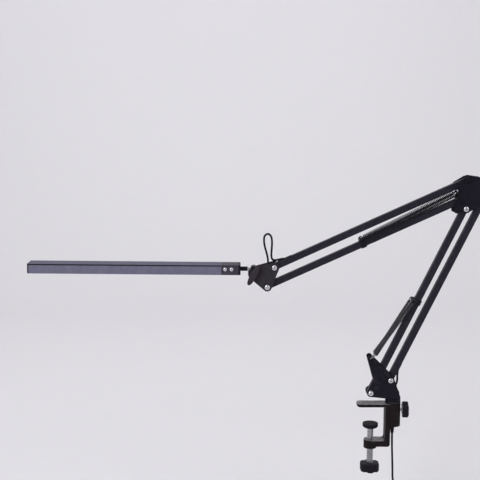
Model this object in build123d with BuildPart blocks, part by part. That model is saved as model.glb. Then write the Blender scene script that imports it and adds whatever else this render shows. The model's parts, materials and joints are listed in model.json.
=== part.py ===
# Clamp lamp with a parallel-link spring arm and a long light bar.
# Millimetres. X runs to the right in the side view, Y away from the viewer, Z up.
# The origin is the middle of the table face under the upper jaw.

import math
import os

from build123d import *

os.makedirs("parts", exist_ok=True)

# Fits
RUN_FIT = 0.05          # radial room of a turning fit
FACE_GAP = 0.05         # room between flat faces that slide on each other
SEAT_GAP = 0.3          # room between loose neighbours

# Arm links
ARM = 317.0             # pivot to pivot, all four tubes
TUBE = 10.0             # square tube, outside
TUBE_WALL = 1.0
TUBE_CORNER = 0.9
TUBE_OVER = 4.0         # tube past its pivot
LOWER_LEAN = 25.7       # lower arm from upright, degrees
FORE_DROP = 24.4        # forearm below level, degrees
FRONT_FOOT = (-1.4, 22.7)       # lower pivot of the front tube, X and Z
BASE_LINK = (30.1, 20.3)        # front pivot to rear pivot
ELBOW_RISE = (1.6, 41.5)        # front tube's top pivot to the forearm's upper pivot
FORE_LINK = (10.6, 29.7)        # lower to upper pivot of the forearm

# Bracket plates and their fasteners
PLATE_T = 1.5
PLATE_GAP = 17.5        # between the inner faces of a pair
BOLT_R = 2.5
PLATE_HOLE_ROOM = 0.1
HEAD_R = 4.4
HEAD_T = 3.0
HEAD_EDGE = 1.4
NUT_R = 4.6             # to the corners
NUT_T = 4.0
BOLT_END = 1.2          # bolt past its nut
SPACER_R = 4.5
HOOK_HOLE_R = 1.6

# Lobes of the bracket plates: places from the pivot named, and radii
BASE_HOOK_AT = (-1.4, 54.6)     # from the front foot
BASE_WAIST_AT = (14.4, 9.8)
BASE_CORNER_AT = (42.2, -6.8)
BASE_HOOK_R = 4.0
BASE_WAIST_R = 7.0
BASE_CORNER_R = 3.5
BASE_LOBE_R = 6.0
BASE_FAR_HOOK_AT = (4.2, 49.0)  # the far spring's hole
ELBOW_HOOK_AT = (-11.6, -15.9)  # from the upper elbow pivot
ELBOW_CORNER_AT = (-14.6, -5.6)
ELBOW_PEAK_AT = (2.9, 5.8)
ELBOW_BACK_AT = (17.2, -2.9)
ELBOW_TOE_AT = (-4.9, -14.2)    # from the lower elbow pivot
ELBOW_TIP_R = 4.4
ELBOW_PEAK_R = 2.5
ELBOW_EAR_R = 3.2       # round the spring's hole
ELBOW_TOP_R = 7.2
ELBOW_BACK_R = 9.0
ELBOW_REAR_R = 8.0
ELBOW_FRONT_R = 6.5
ELBOW_LOW_R = 5.6
HEAD_TOP_R = 7.5
HEAD_LOW_R = 6.8
HEAD_TILT_R = 8.5

# Springs
SPRING_R = 3.4          # to the middle of the wire
SPRING_WIRE = 1.2
SPRING_PITCH = 9.6
SPRING_SIDES = 4
COLLAR_FROM_PIVOT = 158.0
COLLAR_LEN = 8.4
COLLAR_WALL = 1.3
LUG_R = 3.2             # lug on a collar, round its pin
LUG_HALF = 4.5
PIN_OUT = 6.0           # pin from the tube's middle
PIN_R = 2.0
PIN_END = 3.6           # pin past the spring's middle plane

# Light bar
BAR_DEPTH = 30.0
BAR_TALL = 15.2
BAR_SLOPE = 0.49        # bar's rise towards its left end, degrees
BAR_CORNER = 0.8
HOUSING_LEN = 291.0
END_CAP_T = 2.0
END_BLOCK_LEN = 29.0
BAR_WALL = 1.8
BAR_TOP = 2.2
GROOVE_T = 1.2
GROOVE_DEEP = 1.2
GROOVE_DROP = 0.7       # groove below the top face
DIFFUSER_T = 2.0
DIFFUSER_INSET = 0.6
DIFFUSER_ROOM = 0.1
BOARD_W = 20.0
BOARD_T = 1.2
LED_COUNT = 24
LED_LONG = 3.5
LED_WIDE = 2.8
LED_T = 0.8
SPIGOT_LEN = 9.0
SPIGOT_ROOM = 0.2
END_SCREW_R = 3.1
END_SCREW_T = 1.8
END_SCREW_EDGE = 0.8
END_SCREW_SHANK_R = 1.6
END_SCREW_SHANK = 9.0
END_SCREWS = (13.7, 23.3)       # from the right end of the block
END_SCREW_RISE = 1.3    # above the bar's middle
STEM_LEN = 10.7
STEM_R = 3.4
ROD_R = 2.7
ROD_BORE_R = 1.9
ROD_IN_BLOCK = 24.0

# Head
TILT_FROM_TOP = (-31.3, -9.7)   # tilt pivot from the upper head pivot
TILT_TO_BAR = 19.9      # tilt pivot to the bar's right end
ROD_RISE = 6.6          # rod above the tilt pivot
ROD_PAST = 8.0          # rod past the tilt pivot
TILT_BLOCK_R = 7.0
TILT_BLOCK_TOP_R = 5.0
TILT_WASHER_T = 1.2
TILT_WASHER_R = 6.5
TILT_BOLT_R = 3.0
TILT_HEAD_T = 4.0
TILT_HEAD_R = 5.6
WING_LEN = 35.0
WING_W = 10.0
WING_T = 7.0
WING_LEAN = 28.7        # from upright, degrees
WING_TIP_R = 1.4
WING_EDGE = 1.2
WING_HUB_R = 5.4
WING_HUB_T = 4.0
WING_BORE = 8.0

# Clamp
JAW_TIP = -21.5
THROAT = 22.0           # origin to the spine's inner face
JAW_W = 22.0
JAW_T = 3.6
JAW_ROUND = 6.0
PAD_T = 1.2
PAD_INSET = 1.0
SPINE_T = 7.5
POST_X = 34.2
BOSS_R = 12.0
BOSS_TOP = 7.0
BOSS_BOTTOM = -31.0
BOSS_FLOOR = 4.0
BUSH_R = 7.5
POST_R = 6.0
POST_BORE_R = 2.4
POST_FUNNEL = 1.6
WASHER_T = 1.2
FLANGE_R = 11.8
FLANGE_T = 3.4
HUB_LONG = 17.0
HUB_TOP = 24.4
LOWER_ARM_TOP = -54.0
LOWER_ARM_T = 9.0
NUT_BOSS_R = 10.0
NUT_BOSS_T = 13.0
FRAME_ROUND = 4.0
SCREW_R = 5.0
SCREW_TIP_R = 3.5
SCREW_TIP = 3.0         # screw's tip inside the foot
SCREW_SHOW = 57.5       # foot to handle
SCREW_IN_HANDLE = 9.0
TABLE_T = 28.0          # table held at rest
FOOT_R = 12.0
FOOT_T = 5.0
FOOT_RUBBER_T = 1.5
HANDLE_R = 15.0
HANDLE_T = 13.0
LOCK_Z = -6.3
LOCK_SCREW_R = 2.5
LOCK_R = 12.5
LOCK_T = 8.6
LOCK_STAND = 3.2        # screw showing between boss and knob
LOCK_IN_KNOB = 5.0
KNOB_HOLLOWS = 6
KNOB_EDGE = 1.2

# Cord and what is on it
CORD_R = 1.6
CORD_SIDES = 8
COIL_SIDES = 4
SLOT_LEN = 20.0
SLOT_W = 4.4
SLOT_PLACE = 20.0       # middle of a wire slot from its pivot
GROMMET_EDGE = 1.4
GROMMET_T = 0.6
RELIEF_R = 4.3
RELIEF_NECK_R = 4.0
RELIEF_LEN = 13.0
RELIEF_TIP_R = 2.6
COIL_X = 52.8
COIL_Z = -150.0
COIL_R = 17.8           # middle of the turns
COIL_STEP = 3.7         # turn to turn
COIL_TURNS = 3          # in each layer
COIL_LAYERS = 4
COIL_TAIL = 18.5
TIE_T = 1.0
TIE_W = 6.0
TIE_ROOM = 0.5
PLUG_LEN = 24.0
PLUG_W = 15.5
PLUG_T = 7.5
PLUG_ROUND = 1.5
SHELL_LEN = 12.0
SHELL_W = 12.0
SHELL_T = 4.5


def moved(point, step, times=1.0):
    """A point in the side view, moved along a step."""
    return (point[0] + step[0] * times, point[1] + step[1] * times)


def opposite(step):
    return (-step[0], -step[1])


def side(y):
    """The side view's plane at one depth; its local axes are X and Z, and it faces the viewer."""
    return Plane(origin=(0, y, 0), x_dir=(1, 0, 0), z_dir=(0, -1, 0))


def end_view(x):
    """A plane across the light bar; its local axes are Y and Z, and it faces right."""
    return Plane(origin=(x, 0, 0), x_dir=(0, 1, 0), z_dir=(1, 0, 0))


def keep(builder, label, slope=0.0):
    """Name a finished piece, turn it about the tilt pivot by a slope in degrees, and write it."""
    piece = builder.part.rotate(Axis((TILT[0], 0, TILT[1]), (0, 1, 0)), slope)
    piece.label = label
    export_step(piece, f"parts/{label}.step")


# Directions and pivots in the side view, X and Z
lean = math.radians(LOWER_LEAN)
drop = math.radians(FORE_DROP)
LOWER_DIR = (math.sin(lean), math.cos(lean))
LOWER_BACK = (LOWER_DIR[1], -LOWER_DIR[0])      # out of a lower tube's back wall
FORE_DIR = (math.cos(drop), math.sin(drop))     # from the head to the elbow
FORE_UP = (-FORE_DIR[1], FORE_DIR[0])
REAR_FOOT = moved(FRONT_FOOT, BASE_LINK)
FRONT_TOP = moved(FRONT_FOOT, LOWER_DIR, ARM)
REAR_TOP = moved(FRONT_TOP, BASE_LINK)
UPPER_ELBOW = moved(FRONT_TOP, ELBOW_RISE)
LOWER_ELBOW = moved(UPPER_ELBOW, FORE_LINK, -1)
UPPER_HEAD = moved(UPPER_ELBOW, FORE_DIR, -ARM)
LOWER_HEAD = moved(UPPER_HEAD, FORE_LINK, -1)
TILT = moved(UPPER_HEAD, TILT_FROM_TOP)
ROD_Z = TILT[1] + ROD_RISE

# Lobe centres of the bracket plates
BASE_HOOK = moved(FRONT_FOOT, BASE_HOOK_AT)
BASE_WAIST = moved(FRONT_FOOT, BASE_WAIST_AT)
BASE_CORNER = moved(FRONT_FOOT, BASE_CORNER_AT)
BASE_FAR_HOOK = moved(FRONT_FOOT, BASE_FAR_HOOK_AT)
ELBOW_HOOK = moved(UPPER_ELBOW, ELBOW_HOOK_AT)
ELBOW_CORNER = moved(UPPER_ELBOW, ELBOW_CORNER_AT)
ELBOW_PEAK = moved(UPPER_ELBOW, ELBOW_PEAK_AT)
ELBOW_BACK = moved(UPPER_ELBOW, ELBOW_BACK_AT)
ELBOW_TOE = moved(LOWER_ELBOW, ELBOW_TOE_AT)

# Depths of the bracket stack
PLATE_IN = PLATE_GAP / 2
PLATE_OUT = PLATE_IN + PLATE_T
SPRING_Y = PLATE_IN + PLATE_T / 2
TUBE_HALF = TUBE / 2
BORE_R = BOLT_R + RUN_FIT
PLATE_HOLE_R = BOLT_R + PLATE_HOLE_ROOM


def lobed_plate(webs, holes, y_back):
    """A flat plate made of tapering webs between round lobes, with round holes."""
    with BuildPart() as plate:
        for web in webs:
            with BuildSketch(side(y_back)):
                for centre, radius in web:
                    with Locations(centre):
                        Circle(radius)
                make_hull()
            extrude(amount=PLATE_T)
        with BuildSketch(side(y_back)):
            for centre, radius in holes:
                with Locations(centre):
                    Circle(radius)
        extrude(amount=PLATE_T, mode=Mode.SUBTRACT)
    return plate


def plate_pair(name, webs, holes, near_hook, far_hook):
    """The near and far plates of one bracket, each with a hole for its spring where it has one."""
    for where, hook, y_back in (("near", near_hook, -PLATE_IN), ("far", far_hook, PLATE_OUT)):
        hooks = [(hook, HOOK_HOLE_R)] if hook else []
        keep(lobed_plate(webs, holes + hooks, y_back), f"{name}_plate_{where}")


def fasteners(pivots):
    """Pan-head bolts through a bracket, each with its nut behind the far plate."""
    nut_back = PLATE_OUT + NUT_T
    with BuildPart() as bolts:
        with BuildSketch(side(-PLATE_OUT)):
            with Locations(*pivots):
                Circle(HEAD_R)
        extrude(amount=HEAD_T)
        chamfer(bolts.faces().group_by(Axis.Y)[0].edges(), HEAD_EDGE)
        with BuildSketch(side(nut_back + BOLT_END)):
            with Locations(*pivots):
                Circle(BOLT_R)
        extrude(amount=nut_back + BOLT_END + PLATE_OUT)
        with BuildSketch(side(nut_back)):
            with Locations(*pivots):
                RegularPolygon(NUT_R, 6)
                Circle(BORE_R, mode=Mode.SUBTRACT)
        extrude(amount=NUT_T)
    return bolts


def spacers(pivots):
    """Nylon spacers that fill the room between each tube and the two plates."""
    inner = TUBE_HALF + FACE_GAP
    with BuildPart() as rings:
        for y_back in (-inner, PLATE_IN):
            with BuildSketch(side(y_back)):
                with Locations(*pivots):
                    Circle(SPACER_R)
                    Circle(BORE_R, mode=Mode.SUBTRACT)
            extrude(amount=PLATE_IN - inner)
    return rings


def wall_plane(start, direction, place, out):
    """The outer face of one wall of a tube, at a place along it."""
    middle = moved(moved(start, direction, place), out, TUBE_HALF)
    return Plane(
        origin=(middle[0], 0, middle[1]),
        x_dir=(direction[0], 0, direction[1]),
        z_dir=(out[0], 0, out[1]),
    )


def arm_tube(start, direction, slots=()):
    """A square tube between two pivots; each slot is a place along it and the wall that it opens."""
    end = moved(start, direction, -TUBE_OVER)
    end_plane = Plane(origin=(end[0], 0, end[1]), x_dir=(0, 1, 0), z_dir=(direction[0], 0, direction[1]))
    with BuildPart() as tube:
        with BuildSketch(end_plane):
            RectangleRounded(TUBE, TUBE, TUBE_CORNER)
            Rectangle(TUBE - 2 * TUBE_WALL, TUBE - 2 * TUBE_WALL, mode=Mode.SUBTRACT)
        extrude(amount=ARM + 2 * TUBE_OVER)
        with BuildSketch(side(TUBE_HALF)):
            with Locations(start, moved(start, direction, ARM)):
                Circle(BORE_R)
        extrude(amount=TUBE, mode=Mode.SUBTRACT)
        for place, out in slots:
            with BuildSketch(wall_plane(start, direction, place, out)):
                SlotOverall(SLOT_LEN, SLOT_W)
            extrude(amount=-2 * TUBE_WALL, mode=Mode.SUBTRACT)
    return tube


def grommet(start, direction, place, out):
    """A rubber edging round a wire slot."""
    with BuildPart() as ring:
        with BuildSketch(wall_plane(start, direction, place, out)):
            SlotOverall(SLOT_LEN + 2 * GROMMET_EDGE, SLOT_W + 2 * GROMMET_EDGE)
            SlotOverall(SLOT_LEN, SLOT_W, mode=Mode.SUBTRACT)
        extrude(amount=GROMMET_T)
    return ring


def spring_pin(start, direction, out):
    """Where a collar's pin is in the side view."""
    return moved(moved(start, direction, COLLAR_FROM_PIVOT), out, PIN_OUT)


def collar(start, direction, out):
    """A sleeve on a tube, with a lug that carries the cross pin of both springs."""
    middle = moved(start, direction, COLLAR_FROM_PIVOT)
    pin = spring_pin(start, direction, out)
    low = moved(middle, direction, -COLLAR_LEN / 2)
    end_plane = Plane(origin=(low[0], 0, low[1]), x_dir=(0, 1, 0), z_dir=(direction[0], 0, direction[1]))
    outside = TUBE + 2 * COLLAR_WALL
    pin_half = SPRING_Y + PIN_END
    with BuildPart() as sleeve:
        with BuildSketch(end_plane):
            RectangleRounded(outside, outside, COLLAR_WALL)
        extrude(amount=COLLAR_LEN)
        with BuildSketch(side(LUG_HALF)):
            with Locations(middle, pin):
                Circle(LUG_R)
            make_hull()
        extrude(amount=2 * LUG_HALF)
        with BuildSketch(side(pin_half)):
            with Locations(pin):
                Circle(PIN_R)
        extrude(amount=2 * pin_half)
        with BuildSketch(end_plane):
            Rectangle(TUBE, TUBE)
        extrude(amount=COLLAR_LEN, mode=Mode.SUBTRACT)
    return sleeve


def biarc(start, start_way, end, end_way):
    """Two arcs from one point to another that leave and arrive along the given directions."""
    chord = end - start
    spread = 2 * (1 - start_way.dot(end_way))
    reach = chord.dot(start_way + end_way)
    size = (math.sqrt(reach * reach + spread * chord.dot(chord)) - reach) / spread
    middle = (start + end + (start_way - end_way) * size) * 0.5
    first = TangentArc(start, middle, tangent=start_way)
    TangentArc(middle, end, tangent=first % 1)


def sweep_wound(stations, radius, sides, start_run, end_run):
    """Sweep one unbroken tube through stations of place and direction, with straight ends."""
    first, first_way = stations[0]
    last, last_way = stations[-1]
    mouth = first - first_way * start_run
    with BuildLine() as path:
        Line(mouth, first)
        for (start, start_way), (end, end_way) in zip(stations, stations[1:]):
            biarc(start, start_way, end, end_way)
        Line(last, last + last_way * end_run)
    wire = path.wires()[0]
    with BuildSketch(Plane(origin=mouth, z_dir=first_way)) as section:
        RegularPolygon(radius, sides)
    sweep(section.sketch, path=wire, clean=False)
    return wire


def self_gap(wire, radius, apart, count=700):
    """Least room between the turns of a wound tube, measured on points along its path."""
    points = [wire.position_at(i / count) for i in range(count + 1)]
    skip = math.ceil(apart * count / wire.length)
    return min(
        (points[i] - points[j]).length
        for i in range(count + 1)
        for j in range(i + skip, count + 1)
    ) - 2 * radius


def spring_stations(hook, pin, y):
    """A tension spring from a plate's hook hole to a collar's pin, with a ring at each end."""
    start = Vector(hook[0], y, hook[1])
    end = Vector(pin[0], y, pin[1])
    axis = (end - start).normalized()
    depth = Vector(0, -math.copysign(1, y), 0)
    across = axis.cross(depth)
    ring = SPRING_R
    first = start + axis * 2 * ring
    last = end + axis * (PIN_R + SPRING_WIRE / 2 - 2 * ring)
    half_turns = 2 * round((last - first).length / SPRING_PITCH - 0.25)
    turns = 0.5 + half_turns / 2 + 0.25
    rise = (last - first).length / (turns - 0.5)

    def radial(turn):
        angle = 2 * math.pi * turn
        return across * math.cos(angle) + depth * math.sin(angle)

    def onward(turn):
        return radial(turn + 0.25)

    stations = [
        (first - axis * ring + depth * ring, axis * -1),
        (first - axis * 2 * ring, depth * -1),
        (first, depth),
        (first + radial(0.5) * ring, depth * -1),
    ]
    for half in range(1, half_turns + 1):
        turn = 0.5 + half / 2
        way = (onward(turn) * SPRING_R * 2 * math.pi + axis * rise).normalized()
        stations.append((first + radial(turn) * SPRING_R + axis * rise * (half / 2), way))
    stations += [
        (last + radial(turns) * SPRING_R, onward(turns)),
        (last, onward(turns) * -1),
        (last + axis * 2 * ring, onward(turns)),
        (last + axis * ring + onward(turns) * ring, axis * -1),
    ]
    return stations


def springs(name, near_hook, far_hook, pin):
    """The near and far springs of one arm."""
    for where, hook, y in (("near", near_hook, -SPRING_Y), ("far", far_hook, SPRING_Y)):
        label = f"{name}_spring_{where}"
        with BuildPart() as spring:
            wire = sweep_wound(
                spring_stations(hook, pin, y), SPRING_WIRE / 2, SPRING_SIDES, SPRING_WIRE, SPRING_WIRE
            )
        gap = self_gap(wire, SPRING_WIRE / 2, 2 * math.pi * SPRING_R * 0.6)
        print(f"{label}: wire {wire.length:.0f} mm long, least gap to itself {gap:.2f} mm")
        keep(spring, label)


def cord(label, points):
    """A cord along straight runs with arcs as large as the runs allow."""
    corners = [Vector(*point) for point in points]
    radii = []
    for before, corner, after in zip(corners, corners[1:], corners[2:]):
        turn = math.radians((corner - before).get_angle(after - corner))
        shorter = min((corner - before).length, (after - corner).length)
        radii.append(0.45 * shorter / math.tan(turn / 2))
    with BuildPart() as tube:
        with BuildLine() as path:
            FilletPolyline(*corners, radius=radii)
        wire = path.wires()[0]
        with BuildSketch(Plane(origin=corners[0], z_dir=corners[1] - corners[0])) as section:
            RegularPolygon(CORD_R, CORD_SIDES)
        sweep(path=wire, clean=False)
    share = tube.part.volume / (section.sketch.area * wire.length)
    rounded = [round(radius, 1) for radius in radii]
    print(f"{label}: {wire.length:.0f} mm, volume over section times length {share:.3f}, radii {rounded}")
    keep(tube, label)


def tube_wire(label, start, direction, first_out, last_out):
    """The straight stretch of wire inside a tube, from one slot to the other."""
    ends = []
    begin = WIRE_IN_TUBE + WIRE_JOIN_GAP
    for place, out in ((begin, first_out), (ARM - begin, last_out)):
        x, z = moved(moved(start, direction, place), out, WIRE_OFFSET)
        ends.append(Vector(x, 0, z))
    with BuildPart() as wire:
        with BuildSketch(Plane(origin=ends[0], z_dir=ends[1] - ends[0])):
            RegularPolygon(CORD_R, CORD_SIDES)
        extrude(amount=(ends[1] - ends[0]).length)
    keep(wire, label)


def lobed_knob(radius, thick, plane, bore_r, bore_deep):
    """A round grip with hollows round its rim and a blind bore for its screw."""
    with BuildPart() as knob:
        with BuildSketch(plane):
            Circle(radius)
            with PolarLocations(radius * 1.1, KNOB_HOLLOWS):
                Circle(radius * 0.26, mode=Mode.SUBTRACT)
        extrude(amount=thick)
        across = Axis(plane.origin, plane.z_dir)
        ends = knob.faces().filter_by(across).sort_by(across)
        chamfer(ends[0].edges() + ends[-1].edges(), KNOB_EDGE)
        with BuildSketch(plane):
            Circle(bore_r)
        extrude(amount=bore_deep, mode=Mode.SUBTRACT)
    return knob


# Clamp: a C-shaped casting with the post's socket on its outside
jaw_top = PAD_T + JAW_T
frame_bottom = LOWER_ARM_TOP - LOWER_ARM_T
bush_bottom = BOSS_BOTTOM + BOSS_FLOOR
with BuildPart() as clamp_frame:
    with BuildSketch(side(JAW_W / 2)):
        with BuildLine():
            Polyline(
                (JAW_TIP, PAD_T),
                (THROAT, PAD_T),
                (THROAT, LOWER_ARM_TOP),
                (0, LOWER_ARM_TOP),
                (0, frame_bottom),
                (THROAT + SPINE_T, frame_bottom),
                (THROAT + SPINE_T, jaw_top),
                (JAW_TIP, jaw_top),
                close=True,
            )
        make_face()
    extrude(amount=JAW_W)
    upright = clamp_frame.edges().filter_by(Axis.Z).group_by(Axis.X)
    fillet(upright[0], JAW_ROUND)
    crossing = clamp_frame.edges().filter_by(Axis.Y)
    fillet(crossing.filter_by_position(Axis.Z, LOWER_ARM_TOP, LOWER_ARM_TOP).sort_by(Axis.X)[-1], FRAME_ROUND)
    fillet(crossing.filter_by_position(Axis.Z, frame_bottom, frame_bottom).sort_by(Axis.X)[-1], FRAME_ROUND)
    with BuildSketch(Plane.XY.offset(BOSS_BOTTOM)):
        with Locations((POST_X, 0)):
            Circle(BOSS_R)
    extrude(amount=BOSS_TOP - BOSS_BOTTOM)
    with BuildSketch(Plane.XY.offset(LOWER_ARM_TOP - NUT_BOSS_T)):
        Circle(NUT_BOSS_R)
    extrude(amount=NUT_BOSS_T)
    with BuildSketch(Plane.XY.offset(LOWER_ARM_TOP - NUT_BOSS_T)):
        Circle(SCREW_R + RUN_FIT)
    extrude(amount=NUT_BOSS_T, mode=Mode.SUBTRACT)
    with BuildSketch(Plane.XY.offset(bush_bottom)):
        with Locations((POST_X, 0)):
            Circle(BUSH_R)
    extrude(amount=BOSS_TOP - bush_bottom, mode=Mode.SUBTRACT)
    with BuildSketch(Plane.XY.offset(BOSS_BOTTOM)):
        with Locations((POST_X, 0)):
            Circle(RELIEF_NECK_R)
    extrude(amount=BOSS_FLOOR, mode=Mode.SUBTRACT)
    with BuildSketch(end_view(POST_X)):
        with Locations((0, LOCK_Z)):
            Circle(LOCK_SCREW_R + RUN_FIT)
    extrude(amount=BOSS_R, mode=Mode.SUBTRACT)
keep(clamp_frame, "clamp_frame")

with BuildPart() as jaw_pad:
    with BuildSketch(Plane.XY):
        with Locations(((JAW_TIP + THROAT) / 2, 0)):
            RectangleRounded(THROAT - JAW_TIP - 2 * PAD_INSET, JAW_W - 2 * PAD_INSET, JAW_ROUND - PAD_INSET)
    extrude(amount=PAD_T)
keep(jaw_pad, "jaw_pad")

with BuildPart() as post_bush:
    with BuildSketch(Plane.XY.offset(bush_bottom)):
        with Locations((POST_X, 0)):
            Circle(BUSH_R)
            Circle(POST_R + RUN_FIT, mode=Mode.SUBTRACT)
    extrude(amount=BOSS_TOP - bush_bottom)
    with BuildSketch(end_view(POST_X)):
        with Locations((0, LOCK_Z)):
            Circle(LOCK_SCREW_R + SEAT_GAP)
    extrude(amount=BOSS_R, mode=Mode.SUBTRACT)
keep(post_bush, "post_bush")

# Clamp screw with its foot and handle
foot_top = -TABLE_T - FOOT_RUBBER_T
foot_bottom = foot_top - FOOT_T
handle_top = foot_bottom - SCREW_SHOW
with BuildPart() as clamp_foot:
    with BuildSketch(Plane.XY.offset(foot_bottom)):
        Circle(FOOT_R)
    extrude(amount=FOOT_T)
    chamfer(clamp_foot.faces().sort_by(Axis.Z)[0].edges(), FOOT_T / 3)
    with BuildSketch(Plane.XY.offset(foot_bottom)):
        Circle(SCREW_TIP_R + RUN_FIT)
    extrude(amount=SCREW_TIP + FACE_GAP, mode=Mode.SUBTRACT)
keep(clamp_foot, "clamp_foot")

with BuildPart() as foot_rubber:
    with BuildSketch(Plane.XY.offset(foot_top)):
        Circle(FOOT_R)
    extrude(amount=FOOT_RUBBER_T)
keep(foot_rubber, "foot_rubber")

with BuildPart() as clamp_screw:
    with BuildSketch(Plane.XY.offset(handle_top - SCREW_IN_HANDLE)):
        Circle(SCREW_R)
    extrude(amount=SCREW_SHOW + SCREW_IN_HANDLE - FACE_GAP)
    with BuildSketch(Plane.XY.offset(foot_bottom - FACE_GAP)):
        Circle(SCREW_TIP_R)
    extrude(amount=SCREW_TIP)
keep(clamp_screw, "clamp_screw")

handle_plane = Plane(origin=(0, 0, handle_top), x_dir=(1, 0, 0), z_dir=(0, 0, -1))
keep(lobed_knob(HANDLE_R, HANDLE_T, handle_plane, SCREW_R, SCREW_IN_HANDLE), "clamp_handle")

# Lock screw and knob that hold the post
lock_knob_x = POST_X + BOSS_R + LOCK_STAND
lock_tip_x = POST_X + POST_R + SEAT_GAP
with BuildPart() as lock_screw:
    with BuildSketch(end_view(lock_tip_x)):
        with Locations((0, LOCK_Z)):
            Circle(LOCK_SCREW_R)
    extrude(amount=lock_knob_x + LOCK_IN_KNOB - lock_tip_x)
keep(lock_screw, "lock_screw")

lock_plane = Plane(origin=(lock_knob_x, 0, LOCK_Z), x_dir=(0, 1, 0), z_dir=(1, 0, 0))
keep(lobed_knob(LOCK_R, LOCK_T, lock_plane, LOCK_SCREW_R, LOCK_IN_KNOB), "lock_knob")

# Base bracket on its hollow post
flange_bottom = BOSS_TOP + WASHER_T
with BuildPart() as swivel_post:
    with BuildSketch(Plane.XY.offset(bush_bottom + SEAT_GAP)):
        with Locations((POST_X, 0)):
            Circle(POST_R)
    extrude(amount=flange_bottom - bush_bottom - SEAT_GAP)
    with BuildSketch(Plane.XY.offset(flange_bottom)):
        with Locations((POST_X, 0)):
            Circle(FLANGE_R)
    extrude(amount=FLANGE_T)
    with BuildSketch(Plane.XY.offset(flange_bottom + FLANGE_T)):
        with Locations((POST_X, 0)):
            Rectangle(HUB_LONG, PLATE_GAP)
    extrude(amount=HUB_TOP - flange_bottom - FLANGE_T)
    with BuildSketch(Plane.XY.offset(bush_bottom)):
        with Locations((POST_X, 0)):
            Circle(POST_BORE_R)
    extrude(amount=HUB_TOP - bush_bottom, mode=Mode.SUBTRACT)
    mouth = swivel_post.edges().filter_by(GeomType.CIRCLE).sort_by(Axis.Z)[-1]
    chamfer(mouth, POST_FUNNEL)
keep(swivel_post, "swivel_post")

with BuildPart() as post_washer:
    with BuildSketch(Plane.XY.offset(BOSS_TOP + FACE_GAP)):
        with Locations((POST_X, 0)):
            Circle(FLANGE_R)
            Circle(POST_R + RUN_FIT, mode=Mode.SUBTRACT)
    extrude(amount=WASHER_T - FACE_GAP)
keep(post_washer, "post_washer")

plate_pair(
    "base",
    [
        [(BASE_HOOK, BASE_HOOK_R), (REAR_FOOT, BASE_LOBE_R), (BASE_WAIST, BASE_WAIST_R)],
        [(FRONT_FOOT, BASE_LOBE_R), (REAR_FOOT, BASE_LOBE_R), (BASE_CORNER, BASE_CORNER_R)],
    ],
    [(FRONT_FOOT, PLATE_HOLE_R), (REAR_FOOT, PLATE_HOLE_R)],
    BASE_HOOK,
    BASE_FAR_HOOK,
)
keep(fasteners([FRONT_FOOT, REAR_FOOT]), "base_bolts")
keep(spacers([FRONT_FOOT, REAR_FOOT]), "base_spacers")

# Lower arm
LOWER_FRONT = opposite(LOWER_BACK)
keep(arm_tube(FRONT_FOOT, LOWER_DIR), "front_tube")
keep(
    arm_tube(REAR_FOOT, LOWER_DIR, [(SLOT_PLACE, LOWER_BACK), (ARM - SLOT_PLACE, LOWER_FRONT)]),
    "rear_tube",
)
keep(grommet(REAR_FOOT, LOWER_DIR, SLOT_PLACE, LOWER_BACK), "rear_grommet")
keep(collar(FRONT_FOOT, LOWER_DIR, LOWER_FRONT), "lower_collar")
springs("lower", BASE_HOOK, BASE_FAR_HOOK, spring_pin(FRONT_FOOT, LOWER_DIR, LOWER_FRONT))

# Elbow bracket
plate_pair(
    "elbow",
    [
        [
            (UPPER_ELBOW, ELBOW_TOP_R),
            (ELBOW_PEAK, ELBOW_PEAK_R),
            (ELBOW_BACK, ELBOW_BACK_R),
            (REAR_TOP, ELBOW_REAR_R),
            (FRONT_TOP, ELBOW_FRONT_R),
            (LOWER_ELBOW, ELBOW_LOW_R),
        ],
        [(UPPER_ELBOW, ELBOW_TOP_R), (ELBOW_CORNER, ELBOW_TIP_R)],
        [(UPPER_ELBOW, ELBOW_TOP_R), (ELBOW_HOOK, ELBOW_EAR_R)],
        [(LOWER_ELBOW, ELBOW_LOW_R), (ELBOW_TOE, ELBOW_TIP_R)],
    ],
    [
        (ELBOW_TOE, HOOK_HOLE_R),
        (UPPER_ELBOW, PLATE_HOLE_R),
        (LOWER_ELBOW, PLATE_HOLE_R),
        (FRONT_TOP, PLATE_HOLE_R),
        (REAR_TOP, PLATE_HOLE_R),
    ],
    ELBOW_HOOK,
    ELBOW_HOOK,
)
keep(fasteners([FRONT_TOP, REAR_TOP]), "elbow_bolts")
keep(fasteners([UPPER_ELBOW, LOWER_ELBOW]), "elbow_black_bolts")
keep(spacers([UPPER_ELBOW, LOWER_ELBOW, FRONT_TOP, REAR_TOP]), "elbow_spacers")

# Forearm
FORE_DOWN = opposite(FORE_UP)
FORE_OUT = opposite(FORE_DIR)
keep(
    arm_tube(UPPER_HEAD, FORE_DIR, [(SLOT_PLACE, FORE_UP), (ARM - SLOT_PLACE, FORE_DOWN)]),
    "upper_tube",
)
keep(grommet(UPPER_HEAD, FORE_DIR, SLOT_PLACE, FORE_UP), "upper_grommet")
keep(arm_tube(LOWER_HEAD, FORE_DIR), "lower_tube")
keep(collar(LOWER_ELBOW, FORE_OUT, FORE_UP), "forearm_collar")
springs("forearm", ELBOW_HOOK, ELBOW_HOOK, spring_pin(LOWER_ELBOW, FORE_OUT, FORE_UP))

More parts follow.
